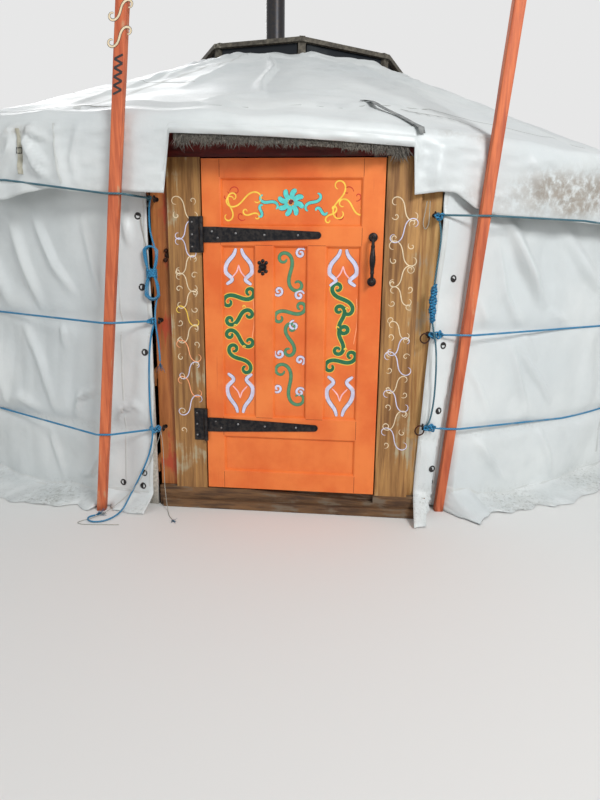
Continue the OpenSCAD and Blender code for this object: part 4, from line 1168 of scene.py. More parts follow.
# %% How far the valance stands off
def valance_swing(a, down):
    """How far the valance stands off its cylinder: a squared sine round the eave
    that grows towards the hem, a ripple and the creases, less a bell at the rope.
    down is 0 at the eave and 1 at the hem. The rope is tilted a little more than
    the roof, so it lies nearer to the hem on the roof's low side."""
    s = EAVE_R * a
    folds = 0.5 + 0.5 * np.sin(s * TAU / 0.33 + 2.5 * ripple(s, 0.3 * down, 81, 0.8))
    swing = 0.004 + 0.013 * folds ** 2 * np.clip(down, 0, 1) + 0.003 * ripple(s, down, 82, 0.15)
    for places, width, height, skew in VALANCE_FOLDS:
        line = [(math.radians(d) * EAVE_R, DROP * q) for d, q in places]
        swing = swing + crease(s, DROP * down, line, 0.9 * width, 1.4 * height, skew)
    rope = np.exp(-((down - 0.90 - 0.105 * np.sin(a)) / 0.07) ** 2)
    behind = np.clip((np.abs(np.degrees(a)) - 19) / 7, 0, 1)
    return np.maximum(swing, 0.001) * (1 - 0.95 * rope * behind)


def valance_place(degrees, z, lift):
    """A point on the hanging part, raised outwards by a lift."""
    a, z = np.radians(np.asarray(degrees, float)), np.asarray(z, float)
    bend = 0.009 * np.exp(-((EAVE_Z - z) / 0.07) ** 2)
    return around(a, EAVE_R + 0.001 + valance_swing(a, (EAVE_Z - z) / DROP) + lift + bend, z)


print("the notch over the door is", round(2 * NOTCH, 1), "degrees wide")

# %% [markdown]
# ## Columns, stains and painted shade
# The columns of the roof's grid go all the way round. Each of its points also
# carries how stained it is: the hem is dirty where water runs off it, and there
# are a few brown patches. The broad patches on the right valance are stain and
# painted shade together.

# %% Columns, stains and painted shade
# Rows: azimuth, height, two widths and strength. The broad rows from 24 to 33 degrees are stain and
# painted shade on the right valance.
STAIN_AND_SHADE_SPOTS = [
    (13.2, 1.672, 1.2, 0.02, 0.45), (16.4, 1.66, 1.3, 0.018, 0.5), (24.0, 1.50, 3.0, 0.05, 0.8),
    (28.5, 1.47, 4.0, 0.07, 0.9), (33.0, 1.50, 5.0, 0.08, 0.7), (-24.8, 1.69, 1.6, 0.012, 0.7)]


def roof_columns():
    """Azimuths of the columns in degrees, close together over the door, with one
    exactly at each edge of the notch."""
    degrees = np.concatenate([np.arange(-40, 40.01, 0.32), np.arange(41, 320, 1.0)])
    for edge in (-NOTCH, NOTCH):
        degrees[np.argmin(np.abs(degrees - edge))] = edge
    return degrees


def stained(degrees, z):
    """How stained the cover is, with painted shade: soft spots from the table,
    the broad ones on the right valance painted shade as well as stain, and a
    dirty hem.
    """
    low = np.exp(-((z - 1.42) / 0.06) ** 2)
    right_side = np.exp(-((degrees - 25) / 7) ** 2)
    a = np.radians(degrees)
    stain_and_shade = low * right_side * (0.5 + 0.5 * ripple(a * 20, z * 6, 90, 1.4))
    stain_and_shade = stain_and_shade + 0.25 * low * (0.5 + 0.5 * ripple(a * 9, z * 3, 91, 1.0))
    for d, height, wide, high, much in STAIN_AND_SHADE_SPOTS:
        stain_and_shade = stain_and_shade + much * np.exp(-((degrees - d) / wide) ** 2 - ((z - height) / high) ** 2)
    return np.clip(stain_and_shade, 0, 1)


print("stains from the table:", len(STAIN_AND_SHADE_SPOTS))

# %% [markdown]
# ## The roof sheet
# Cone, rounded eave and valance are one surface, because the real sheet is one
# piece. Its rows run from the crown down to the hem.

# %% Roof sheet
def roof_sheet():
    """The cover: the raised cone, then a quarter of an ellipse round the eave,
    then the valance, whose edge is rolled where it is cut away."""
    columns = roof_columns()
    degrees = np.where(columns > 180, columns - 360, columns)
    a = np.radians(degrees)
    inside = np.abs(degrees) < NOTCH + 0.01
    rise = np.concatenate([np.linspace(0, 0.4, 26)[:-1], np.linspace(0.4, 1, 34)])
    r = CROWN_R + (EAVE_R - 0.045 - CROWN_R) * rise
    rows = [cover_place(degrees[None], r[:, None], 0)]
    last_r, last_z = np.hypot(*rows[0][-1, :, :2].T), rows[0][-1, :, 2]
    top_z = EAVE_Z - SHOULDER
    for quarter in (0.35, 0.65, 0.88, 1.0):
        turn = quarter * math.pi / 2
        rows.append(around(a, last_r + (EAVE_R + 0.010 - last_r) * math.sin(turn),
                           last_z - (last_z - top_z) * (1 - math.cos(turn)))[None])
    down = np.linspace(0.07, 1, 20)[:, None]
    z = top_z - (top_z - np.where(inside, BAND_Z, hem_height(a))) * down
    stand = EAVE_R + 0.001 + valance_swing(a + 0 * z, (EAVE_Z - z) / DROP) \
        + 0.009 * np.exp(-(down / 0.25) ** 2) + inside * 0.012 * np.sin(math.pi * down)
    rows.append(around(a, stand, z))
    points = settled(np.concatenate(rows))
    uv = np.stack(np.broadcast_arrays(np.radians(columns) * 2, run_along(points[:, 0])[:, None]), -1)
    stain_and_shade = stained(degrees, points[..., 2])
    sheet = Shape().grid(points, uv, wrap=True, flip=True).make(
        "roof_sheet", cover_sheet, values={"stain_and_shade": stain_and_shade, "mould": 0 * stain_and_shade})
    return settle(solid_cloth(sheet, 0.0013, -1), "tent", "cover", "roof_cover")


roof = roof_sheet()
print("roof sheet", len(roof.data.polygons), "squares")

# %% [markdown]
# ## Seams and fine lines of the roof
# The cover is welded from strips, and each weld is a low band with a hairline of
# shadow. Both are narrow strips over a line, laid on the same surface.

# %% Roof seams
def seam(shape, place, line, width, scale):
    """A low welded strip along a line of (azimuth, radius or height). The scale
    is about how many metres a degree is."""
    line = smooth_line(np.asarray(line, float) * [scale, 1], 0.02)
    way = unit(np.gradient(line, axis=0))
    side = np.stack([-way[:, 1], way[:, 0]], 1) * width / 2
    rows = [settled(place((line[:, 0] + k * side[:, 0]) / scale, line[:, 1] + k * side[:, 1], lift))
            for k, lift in ((-1, 0.0002), (0, 0.0012), (1, 0.0002))]
    shape.grid(np.array(rows), flip=place is cover_place)


SLOPE_DEGREE, VALANCE_DEGREE = 0.043, 0.0487
roof_seams, fine_lines = Shape(), Shape()
for line in ([(-24, 2.70), (-18.8, 2.67), (-9.0, 2.66), (-4.1, 2.60), (0.6, 2.568), (7.3, 2.46),
              (14.2, 2.39), (16.7, 2.452)], [(11.1, 2.453), (13.5, 2.552), (17.0, 2.70)],
             [(16.7, 2.452), (24, 2.50), (34, 2.58)], [(-40, 2.60), (-32, 2.66), (-24, 2.70)],
             [(-46, 1.9), (-30, 1.98), (-14, 2.1)]):
    seam(fine_lines, cover_place, line, 0.0045, SLOPE_DEGREE)
for degrees in range(-170, 181, 30):
    if abs(degrees) > 15:
        seam(roof_seams, cover_place, [(degrees, 0.93), (degrees, 1.6), (degrees, 2.2),
                                       (degrees, 2.71)], 0.026, 0.03)
seam(roof_seams, valance_place, [(-20.92, 1.665), (-20.96, 1.604), (-20.64, 1.492),
                                 (-20.29, 1.425)], 0.012, VALANCE_DEGREE)
for k in range(0, 11, 2):
    d, z = 18.21 - 0.013 * k, 1.508 - 0.0089 * k
    seam(fine_lines, valance_place, [(d, z), (d - 0.01, z - 0.006)], 0.0022, VALANCE_DEGREE)
seam_pieces = [settle(shape.make(name, finish), "tent", "cover") for shape, name, finish in (
    (roof_seams, "roof_seams", seam_cloth), (fine_lines, "roof_fine_lines", seam_shadow))]
print("roof seams", len(roof_seams.faces), "and fine lines", len(fine_lines.faces), "squares")

# %% [markdown]
# ## Timber
# Wood grain is noise that is stretched along the board. The laths, the poles
# and the crown are oiled and brown. The frame round the door is varnish that
# the weather has worn away in patches, so a second, larger noise mixes bare
# grey wood into it.

# %% Timber finishes
def timber(name, grain, dark, light, roughness, worn, wear):
    """Wood with streaks: stretched noise picks between two browns.

    grain gives how many streaks a metre lie along each axis. Where worn is
    given, larger noise uncovers that colour, and wear is how much of it shows."""
    f = Finish(name, roughness)
    streaks = f.noise(1.0, 5, 0.6, f.stretch(grain))
    wide = f.noise(0.25, 3, 0.5, f.stretch(grain))
    tone = f.mix(f.spread(streaks, 0.3, 0.7), dark, light)
    tone = f.mix(f.spread(wide, 0.35, 0.7, 0.0, 0.45), tone, dark)
    if worn:
        patches = f.math("ADD", f.math("MULTIPLY", f.noise(6, 5), 0.6),
                         f.math("MULTIPLY", streaks, 0.4))
        tone = f.mix(f.spread(patches, 0.62 - 0.2 * wear, 0.7 - 0.2 * wear), tone, worn)
    f.colour(tone)
    f.dull(f.spread(streaks, 0.2, 0.8, roughness - 0.08, roughness + 0.15))
    f.bump((streaks, 0.0008), (f.noise(120, 3), 0.0002))
    return f


UPRIGHT, ACROSS = (55, 55, 3), (3, 55, 55)
LATTICE = [name for name in nodes if name.startswith("lattice")]
TIMBER = [
    ("lath_wood", (30, 30, 30), (116, 72, 40), (176, 122, 76), 0.6, None, 0,
     LATTICE + ["crown_ring", "crown_hub"]),
    ("pole_wood", (18, 18, 60), (140, 92, 54), (190, 140, 90), 0.6, None, 0,
     ["roof_poles", "crown_spokes"]),
    ("grey_wood", (40, 40, 40), (64, 60, 54), (122, 116, 104), 0.8, (150, 146, 134), 0.2,
     ["lantern_curb", "lantern_rim", "lantern_ribs"]),
    ("frame_wood", UPRIGHT, (116, 78, 42), (190, 142, 84), 0.5, (168, 154, 124), 0.3,
     ["left_jamb", "right_jamb", "door_stop"]),
    ("orange_post", UPRIGHT, (148, 84, 44), (208, 134, 74), 0.5, (178, 76, 46), 0.45, ["left_post"]),
    ("yellow_post", UPRIGHT, (150, 104, 56), (206, 166, 106), 0.6, (160, 140, 116), 0.4,
     ["right_post"]),
    ("sill_wood", ACROSS, (66, 46, 32), (128, 94, 62), 0.7, (112, 98, 82), 0.5, ["door_sill"]),
    ("red_wood", ACROSS, (66, 18, 16), (112, 34, 28), 0.5, (84, 54, 46), 0.3, ["door_head"]),
    ("prop_wood", UPRIGHT, (168, 78, 48), (222, 122, 78), 0.6, (196, 150, 116), 0.08, []),
    ("floor_wood", (40, 2.5, 40), (132, 96, 60), (190, 148, 100), 0.6, None, 0, ["floor"]),
]
woods = {}
for name, grain, dark, light, roughness, worn, wear, solids in TIMBER:
    woods[name] = timber(name, grain, shade(*dark), shade(*light), roughness,
                         worn and shade(*worn), wear)
    dress(woods[name], *solids)
print("kinds of timber:", len(woods))

# %% [markdown]
# ## Door paint, iron, glass and steel
# The paint of the door is bright orange with darker streaks of wear along the
# boards. The iron is rough and nearly black. The lantern's panes are a dark
# plain surface, which renders faster than real glass. Their dark colour is
# painted shade of the dim inside seen through them, and it turns paler in large
# cloudy patches.

# %% Paint, iron and glass
def door_paint():
    f = Finish("door_paint", 0.42)
    streaks = f.noise(1.0, 4, 0.6, f.stretch((60, 60, 4)))
    tone = f.mix(f.spread(f.noise(5, 5), 0.3, 0.7), shade(222, 102, 44), shade(238, 128, 62))
    f.colour(f.mix(f.spread(streaks, 0.62, 0.8, 0, 0.4), tone, shade(190, 84, 40)))
    return f.bump((streaks, 0.0006), (f.noise(200, 2), 0.00015))


def iron(name, tone, roughness=0.5, pits=0.0003):
    f = Finish(name, roughness, 0.6)
    f.colour(f.mix(f.spread(f.noise(60, 4), 0.35, 0.7), tone, shade(58, 54, 52)))
    return f.bump((f.noise(300, 4), pits))


def glazing(name, tone):
    f = Finish(name, 0.3)
    f.shader.inputs["Specular IOR Level"].default_value = 0.25
    # Painted shade: the pane takes the dark of the dim inside behind it.
    return f.colour(f.mix(f.spread(f.noise(4, 5), 0.5, 0.8, 0, 0.5), tone, shade(96, 102, 102)))


door_orange = door_paint()
black_iron = iron("black_iron", shade(26, 27, 32), 0.42)
flue_steel = iron("flue_steel", shade(48, 49, 53), 0.38, 0.0001)
plate_steel = iron("plate_steel", shade(150, 138, 122), 0.6)
dark_glass = glazing("dark_glass", shade(26, 32, 38))
dress(door_orange, "door_leaf", "door_panels")
dress(black_iron, "upper_hinge_plate", "lower_hinge_plate", "upper_hinge_strap",
      "lower_hinge_strap", "door_handle", "door_latch", "tie_rings")
dress(flue_steel, "flue_pipe", "flue_cowl")
dress(plate_steel, "flue_plate")
dress(dark_glass, "lantern_side_panes", "lantern_roof_panes")
print("the door, its iron, the flue and the panes are dressed")

# %% [markdown]
# ## The felt under the covers
# Wool felt lies between the lattice and the cover, as a ring round the wall and
# a cone on the poles. Both show only at the edges of the door and the lantern,
# so a plain thick surface with a woolly bump is enough.

# %% Felt layers
def felt(name, dark, light, height):
    f = Finish(name, 0.95)
    f.colour(f.mix(f.spread(f.noise(90, 5, 0.7), 0.35, 0.65), dark, light))
    f.shader.inputs["Sheen Weight"].default_value = 0.3
    return f.bump((f.noise(160, 5, 0.7), height))


def felt_wall():
    """The wall's felt: a thick ring just outside the lattice, open at the door."""
    solid = nodes["wall_felt"].data
    corners = np.empty(len(solid.vertices) * 3)
    solid.vertices.foreach_get("co", corners)
    x, _, z = corners.reshape(-1, 3).T
    top = (z + x * math.tan(LEAN)).max() - 0.001
    A, H = np.meshgrid(np.radians(np.linspace(14.0, 346.2, 420)), np.linspace(0, 1, 14))
    uv = np.stack([2.67 * A, 1.6 * H], -1)
    r = 2.6742 - 0.0002 * (1 + ripple(uv[..., 0], uv[..., 1], 97, 0.2))
    points = around(A, r, 0.001 + H * (top - r * np.sin(A) * math.tan(LEAN) - 0.001))
    layer = Shape().grid(points, uv).make("wall_felt_layer", pale_felt)
    return settle(solid_cloth(layer, 0.0138, -1), "tent", "felt", "wall_felt")


def felt_roof():
    """The roof's felt: a cone under the cover, from the lantern to the eave."""
    A, R = np.meshgrid(np.radians(np.arange(360)), np.linspace(0.873, 2.777, 26))
    points = settled(around(A, R, EAVE_Z + (EAVE_R - R) * SLOPE - 0.0062))
    layer = Shape().grid(points, np.stack([2 * A, R], -1), wrap=True, flip=True).make(
        "roof_felt_layer", pale_felt)
    return settle(solid_cloth(layer, 0.0148, -1), "tent", "felt", "roof_felt")


pale_felt = felt("pale_felt", shade(168, 162, 150), shade(206, 200, 188), 0.002)
old_felt = felt("old_felt", shade(74, 70, 64), shade(124, 118, 108), 0.003)
wall_layer, roof_layer = felt_wall(), felt_roof()
print("felt layers:", wall_layer.name, roof_layer.name)

# %% [markdown]
# ## Felt over the door
# A strip of old shaggy felt hangs from under the cover. It is many thin tufts:
# each is a narrow cone that bends down under its own weight.

# %% Felt fringe
FRINGE_R = 2.777


def tufts(name, finish, roots, lengths, seed, width):
    """Bent cones from a list of roots. The bend is a quarter of a parabola
    sideways, in a random direction, while the tuft falls by its length."""
    rng = np.random.default_rng(seed)
    shape = Shape()
    t = np.linspace(0, 1, 5)
    for root, length in zip(roots, lengths):
        lean_x, lean_y = rng.normal(0, 0.35), -abs(rng.normal(0.15, 0.2))
        path = np.stack([root[0] + length * lean_x * t ** 1.5, root[1] + length * lean_y * t,
                         root[2] - length * t * (0.75 + 0.25 * t)], 1)
        shape.tube(path, width * (1.02 - t) * rng.uniform(0.6, 1.2), 4)
    return shape.make(name, finish)


def felt_band():
    """The strip itself: an arc inside the hanging hem, with a lumpy face."""
    A, Z = np.meshgrid(np.radians(np.linspace(-9.9, 9.9, 220)), np.linspace(1.608, 1.668, 12))
    stand = FRINGE_R + 0.0035 * ripple(2.77 * A, Z, 95, 0.05) - 0.006 * np.clip((1.62 - Z) / 0.012, 0, 1)
    band = Shape().grid(settled(around(A, stand, Z)), np.stack([2.77 * A, Z], -1))
    return solid_cloth(band.make("felt_band", old_felt), 0.012, -1)


def band_roots(count=2600):
    """Roots over the face of the strip, and lengths: it hangs low at both ends."""
    rng = np.random.default_rng(12)
    a = np.radians(rng.uniform(-9.7, 9.7, count))
    z = rng.uniform(1.610, 1.655, count)
    x = 2.78 * np.sin(a)
    long = np.interp(x, [-0.48, -0.40, -0.25, 0.0, 0.08, 0.11, 0.2, 0.36, 0.42, 0.48],
                     [0.052, 0.040, 0.034, 0.026, 0.014, 0.006, 0.018, 0.030, 0.052, 0.044])
    lengths = long * rng.uniform(0.55, 1.3, count) * (0.8 + 0.35 * np.sin(41 * x) * np.sin(97 * x))
    roots = settled(around(a, FRINGE_R + 0.003 * rng.uniform(size=count), z))
    return roots, np.maximum(lengths, 0.006)


felt_strip = settle(felt_band(), "tent", "old_felt", "felt_fringe")
felt_tufts = settle(tufts("felt_tufts", old_felt, *band_roots(), 14, 0.0032), "tent", "old_felt")
print("felt over the door:", len(felt_tufts.data.polygons), "faces")

# %% [markdown]
# ## Mouldings of the door
# The leaf is framed and panelled, and a real one has a small slanted moulding
# round each panel. It is a wedge profile carried round the four sides of each
# opening. The door stands six degrees out of square to the axes, so everything
# on it is worked out in the door's own directions and turned at the end.

# %% Mouldings
DOOR_TURN, DOOR_Y = math.radians(6), -2.660


def at_door(points):
    """Door axes to world: x along the door, y into the tent, z up."""
    x, y, z = points[..., 0], points[..., 1], points[..., 2]
    c, s = math.cos(DOOR_TURN), math.sin(DOOR_TURN)
    return np.stack([x * c + y * s, y * c - x * s + DOOR_Y, z], -1)


PANEL_Y = 0.013
OPENINGS = [
    (-0.312, 0.300, 0.185, 0.359), (-0.312, -0.158, 0.451, 1.222), (-0.083, 0.071, 0.451, 1.222),
    (0.146, 0.300, 0.451, 1.222), (-0.312, 0.300, 1.299, 1.500)]


def moulding(shape, opening, width=0.010):
    """A slanted strip round an opening: at the leaf's edge it stands 1.5 mm
    behind the leaf's face, and it comes down to the panel over its width."""
    left, right, low, high = opening
    corners = [(left, low), (right, low), (right, high), (left, high), (left, low)]
    inner = [(x + (width if x == left else -width), z + (width if z == low else -width))
             for x, z in corners]
    rows = []
    for share, y in ((0, PANEL_Y), (0, 0.0018), (0.35, 0.0030), (0.8, 0.0100), (1, PANEL_Y - 0.0004)):
        rows.append([(a[0] * (1 - share) + b[0] * share, y, a[1] * (1 - share) + b[1] * share)
                     for a, b in zip(corners, inner)])
    shape.grid(at_door(np.array(rows)), flip=True)


trim = Shape()
for opening in OPENINGS:
    moulding(trim, opening)
settle(trim.make("door_mouldings", door_orange, smooth=False), "door", "orange_wood")
print("mouldings round", len(OPENINGS), "panels")

# %% [markdown]
# ## Screws and round heads
# Screw heads and the round feet of the handle are low domes. A dome is four
# rings that get smaller as they rise.

# %% Screws
STRAP_HEIGHTS = (1.265, 0.411)
HANDLE_X, HANDLE_Z = 0.347, 1.166


def dome(shape, x, y, z, radius, height, sides=12):
    """A low round head, flat at the back, that faces out of the door."""
    turn = np.arange(sides) * TAU / sides
    share = np.array([1.0, 0.92, 0.6, 0.02])[:, None]
    rise = np.array([0.0, 0.5, 0.86, 1.0])[:, None] * height
    rows = np.stack([x + radius * share * np.cos(turn), y - rise + 0 * turn,
                     z + radius * share * np.sin(turn)], -1)
    shape.grid(at_door(rows), wrap=True)


screws, plate_screws = Shape(), Shape()
for strap_z in STRAP_HEIGHTS:
    for along, off in ((0.045, 0.014), (0.070, -0.014), (0.150, 0.006), (0.275, 0.0), (0.420, 0.0)):
        dome(screws, -0.393 + along, -0.0050, strap_z + off, 0.0048, 0.0016)
    for off in (-0.052, 0.0, 0.052):
        dome(plate_screws, -0.437, -0.0040, strap_z + off, 0.0045, 0.0014)
bright_screw = iron("bright_screw", shade(150, 150, 150), 0.4)
settle(screws.make("strap_screws", bright_screw), "door", "ironwork")
settle(plate_screws.make("plate_screws", bright_screw), "tent", "ironwork")

roses = Shape()
for rise in (-0.092, 0.092):
    dome(roses, HANDLE_X, -0.0060, HANDLE_Z + rise, 0.0195, 0.006, 20)
settle(roses.make("handle_roses", black_iron), "door", "ironwork")
print("strap screws:", len(screws.points), "and plate screws:", len(plate_screws.points))

# %% [markdown]
# ## Joints of the leaf
# Where a rail meets a stile, the paint shows a fine dark line. Each is a flat
# strip that lies a hair in front of the wood.

# %% Joints
LEAF_LOW, LEAF_TOP = 0.102, 1.576


def plank_line(shape, x0, z0, x1, z1, width=0.0016):
    """A dark hairline on the leaf, as a flat strip 0.2 mm proud of it."""
    way = np.array([x1 - x0, z1 - z0])
    side = np.array([-way[1], way[0]]) / np.linalg.norm(way) * width / 2
    rows = [[(x0 + k * side[0], -0.0003, z0 + k * side[1]),
             (x1 + k * side[0], -0.0003, z1 + k * side[1])] for k in (-1, 1)]
    shape.grid(at_door(np.array(rows)))


joints = Shape()
for low, high in ((LEAF_LOW, 0.185), (0.359, 0.451), (1.222, 1.299), (1.500, LEAF_TOP)):
    for x in (-0.312, 0.300):
        plank_line(joints, x, low + 0.002, x, high - 0.002)
for left, right in ((-0.158, -0.083), (0.071, 0.146)):
    for z in (0.451, 1.222):
        plank_line(joints, left, z, right, z)
joint_shadow = Finish("joint_shadow", 0.8).colour(shade(120, 50, 26))
settle(joints.make("door_joints", joint_shadow), "door", "orange_wood")
print("joinery lines", len(joints.faces))

# %% [markdown]
# ## Painted ornament
# The door carries scrolls in the old steppe manner. A scroll is the path of a
# pen whose heading grows with the square of its way: it runs nearly straight
# in the middle and curls up at both ends. Each stroke is a thin low ribbon on
# the wood, wide in the middle and pointed at its ends.

# %% Paints
def paint(name, tone):
    f = Finish("paint_" + name, 0.5)
    light = tuple(min(1.0, c * 1.25 + 0.01) for c in tone[:3]) + (1.0,)
    return f.colour(f.mix(f.spread(f.noise(40, 4, 0.6), 0.35, 0.7), tone, light))


PAINTS = {name: paint(name, shade(*tone)) for name, tone in {
    "green": (22, 96, 62), "leaf": (74, 130, 96), "yellow": (238, 196, 74),
    "lavender": (196, 196, 220), "slate": (62, 72, 74), "pink": (236, 176, 178),
    "red": (186, 44, 24), "turquoise": (84, 196, 190), "maroon": (104, 26, 36),
    "chalk": (214, 196, 164), "black": (40, 36, 38), "rose": (250, 158, 112)}.items()}
print("paints:", ", ".join(PAINTS))

# %% [markdown]
# ## Scrolls
# Every scroll and curl is drawn at the size of one, then turned and placed.

# %% Scrolls
def s_scroll(turns=0.75, count=44):
    """An S with curled ends, one unit across. Its heading is the number of turns
    times a full circle times the square of its way, from -1 to 1."""
    heading = turns * TAU * np.linspace(-1, 1, count) ** 2
    x, z = np.cumsum(np.cos(heading)), np.cumsum(np.sin(heading))
    line = np.stack([x - x.mean(), z - z.mean()], 1)
    return line / np.ptp(line, axis=0).max()


def curl(turns, count=30):
    """A single spiral, one unit across, whose radius shrinks evenly."""
    t = np.linspace(0, 1, count)
    radius, angle = 0.5 * (1 - 0.85 * t), turns * TAU * t
    return np.stack([radius * np.cos(angle), radius * np.sin(angle)], 1)


def turned(x, z, angle):
    """Plane places turned by an angle in radians."""
    c, s = math.cos(angle), math.sin(angle)
    return np.stack([x * c - z * s, x * s + z * c], 1)


def place(line, x, z, size, angle=0.0, mirror=False):
    """Mirrors, turns, scales and moves a line on the door's plane."""
    across = -line[:, 0] if mirror else line[:, 0]
    return size * turned(across, line[:, 1], math.radians(angle)) + [x, z]


print("one scroll is a line of", len(s_scroll()), "points")

# %% [markdown]
# ## Brush strokes
# A stroke makes a ribbon of a line and adds that to the mesh of its colour, so
# that each colour is one piece.

# %% Brush strokes
STROKES = {}


def stroke(line, width, colour, y=PANEL_Y, layer=1, body="door", blunt=0.35, to_world=at_door):
    """A ribbon along a line. Its width is largest in the middle, and each layer
    of paint lies 0.25 mm over the one under it."""
    line = np.asarray(line, float)
    t = np.linspace(-1, 1, len(line))
    wide = width / 2 * (blunt + (1 - blunt) * np.sqrt(np.clip(1 - np.abs(t) ** 3, 0, 1)))
    way = unit(np.gradient(line, axis=0))
    side = np.stack([-way[:, 1], way[:, 0]], 1) * wide[:, None]
    rows = []
    for k, lift in ((-1, 0.0), (0, 0.00015), (1, 0.0)):
        at = line + k * side
        rows.append(np.stack([at[:, 0], np.full(len(at), y - 0.00025 * layer - lift), at[:, 1]], 1))
    STROKES.setdefault((colour, body), Shape()).grid(to_world(np.array(rows)))


def edged(line, width, colour, edge, rim=0.004, **more):
    """A stroke with a thin outline: a wider one is laid under it."""
    stroke(line, width + rim, edge, layer=1, **more)
    stroke(line, width, colour, layer=2, **more)


print("strokes can be laid on the wood")

# %% [markdown]
# ## Ornament on the leaf
# The tall panels hold chains of green scrolls between pale flames, and the
# middle one a chain of leaf green. Each is a short table of places, sizes and
# angles.

# %% Ornament on the tall panels
MIDDLE_X = -0.006
FLAME = np.array([(0.012, 0.0), (0.022, -0.026), (0.052, -0.062), (0.058, -0.098), (0.030, -0.128),
                  (0.056, -0.150)])
ARROW = np.array([(0, -0.070), (0.010, -0.100), (0.034, -0.128)])


def flames(x, z, up, height=0.155):
    """Two mirrored tongues and a small arrow between them."""
    for mirror in (-1, 1):
        flame = FLAME * [mirror, up * height / 0.15]
        edged(smooth_line(flame, 0.004) + [x, z], 0.017, "lavender", "slate", blunt=0.5)
        stroke(smooth_line(ARROW * [mirror, up], 0.004) + [x, z], 0.006, "pink", layer=3)
        stroke(smooth_line(flame[2:5] * [1.2, 1], 0.004) + [x, z], 0.004, "rose", layer=1)


for centre in (-0.235, 0.223):
    flames(centre, 1.208, 1)
    flames(centre, 0.468, -1, 0.185)
    flip = centre > 0
    for z, size, angle, mirror in ((0.998, 0.118, -20, flip), (0.908, 0.100, 62, not flip),
                                   (0.815, 0.104, 116, flip), (0.722, 0.118, -14, not flip)):
        line = place(s_scroll(1.0), centre, z, size, angle, mirror)
        edged(line, 0.018, "green", "yellow", 0.0055, blunt=0.5)
    for z, x in ((0.955, 0.02), (0.87, -0.02), (0.775, 0.018)):
        stroke(place(curl(0.6), centre + x, z, 0.018), 0.005, "yellow", layer=3)
    stroke(smooth_line([(centre + 0.062, 1.0), (centre + 0.068, 0.9), (centre + 0.055, 0.8)], 0.005),
           0.004, "rose")
for z, size, angle, mirror in ((1.112, 0.142, 74, False), (0.935, 0.120, -16, False),
                               (0.815, 0.118, -52, True), (0.610, 0.168, 78, False)):
    edged(place(s_scroll(1.0), MIDDLE_X, z, size, angle, mirror), 0.0125, "leaf", "green", blunt=0.4)
for x, z, angle in ((0.044, 1.190, 40), (-0.052, 1.028, 200), (0.040, 1.010, 20), (0.018, 0.878, 90),
                    (-0.046, 0.750, 150), (0.046, 0.722, 300), (-0.056, 0.590, 180),
                    (0.048, 0.575, 20)):
    edged(place(curl(1.25), MIDDLE_X + x, z, 0.045, angle), 0.0105, "lavender", "black", 0.003,
          blunt=0.6)
print("colours on the tall panels:", len(STROKES))

# %% [markdown]
# ## The rosette
# The panel over the hinge has a plain rosette of eight petals between two
# yellow tendrils. What stands on the left is mirrored to the right.

# %% Ornament on the upper panel
PETAL = np.array([(0.013, 0.0), (0.036, 0.008), (0.058, 0.0)])
for degrees in np.arange(22.5, 360, 45):
    petal = smooth_line(turned(*PETAL.T, math.radians(degrees)), 0.004)
    edged(petal + [MIDDLE_X, 1.400], 0.021, "turquoise", "maroon", 0.005, blunt=0.2)
edged(place(curl(0.95), MIDDLE_X, 1.400, 0.016), 0.012, "maroon", "yellow", 0.003, blunt=0.8)
for side in (-1, 1):
    for x, z, size, angle in ((0.095, 1.402, 0.070, 8), (0.130, 1.365, 0.040, 120)):
        edged(place(s_scroll(0.5), MIDDLE_X + side * x, z, size, angle, side < 0), 0.012,
              "turquoise", "maroon", blunt=0.2)
    for line, x, z, size, angle, width, colour, layer in (
            (s_scroll(0.8), 0.205, 1.412, 0.125, 48, 0.0065, "yellow", 2),
            (s_scroll(0.8), 0.262, 1.382, 0.095, -62, 0.0065, "yellow", 2),
            (s_scroll(0.8), 0.172, 1.352, 0.060, 20, 0.0065, "yellow", 2),
            (curl(0.8), 0.240, 1.444, 0.05, 0, 0.0045, "red", 1),
            (curl(0.8), 0.215, 1.345, 0.045, 140, 0.0045, "red", 1),
            (curl(0.8), 0.282, 1.425, 0.04, 250, 0.0045, "red", 1)):
        stroke(place(line, MIDDLE_X + side * x, z, size, angle, side < 0), width, colour, layer=layer)
print("colours on the leaf:", len(STROKES))

# %% [markdown]
# ## Ornament on the frame and the prop
# On the frame boards the scrolls are chalky and half gone, and on the upper
# part of the left prop a zigzag stands under two thin scrolls.

# %% Ornament on the frame and the prop
rng = np.random.default_rng(77)
for side, centre in ((-1, -0.468), (1, 0.474)):
    z, flip = 1.375, False
    while z > 0.33:
        size = rng.uniform(0.085, 0.115)
        faded = rng.uniform() < (0.35 if side < 0 else 0.12)
        tone = rng.choice(["chalk", "lavender", "rose", "yellow"], p=[0.72, 0.18, 0.06, 0.04])
        if not faded:
            stroke(place(s_scroll(0.75), centre, z, size, 80 if flip else 100, flip), 0.0042,
                   str(tone), y=0.0, body="tent", blunt=0.15)
        for k in (-1, 1):
            if rng.uniform() < (0.55 if side < 0 else 0.85):
                stroke(place(curl(0.9), centre + k * 0.036, z + 0.03 * k, 0.034,
                             rng.uniform(0, 360), flip), 0.0034, "chalk", y=0.0, body="tent",
                       blunt=0.15)
        z -= size * 0.84
        flip = not flip


def on_left_prop(points):
    """Prop axes to world: x across its front face, z up, y is the lift."""
    x, lift, z = points[..., 0], points[..., 1], points[..., 2]
    front = -2.7221 + 0.062 * (1 - z / 1.4) - 0.0251
    return np.stack([x - 0.890 + z * math.tan(math.radians(6.5)), front + lift, z], -1)


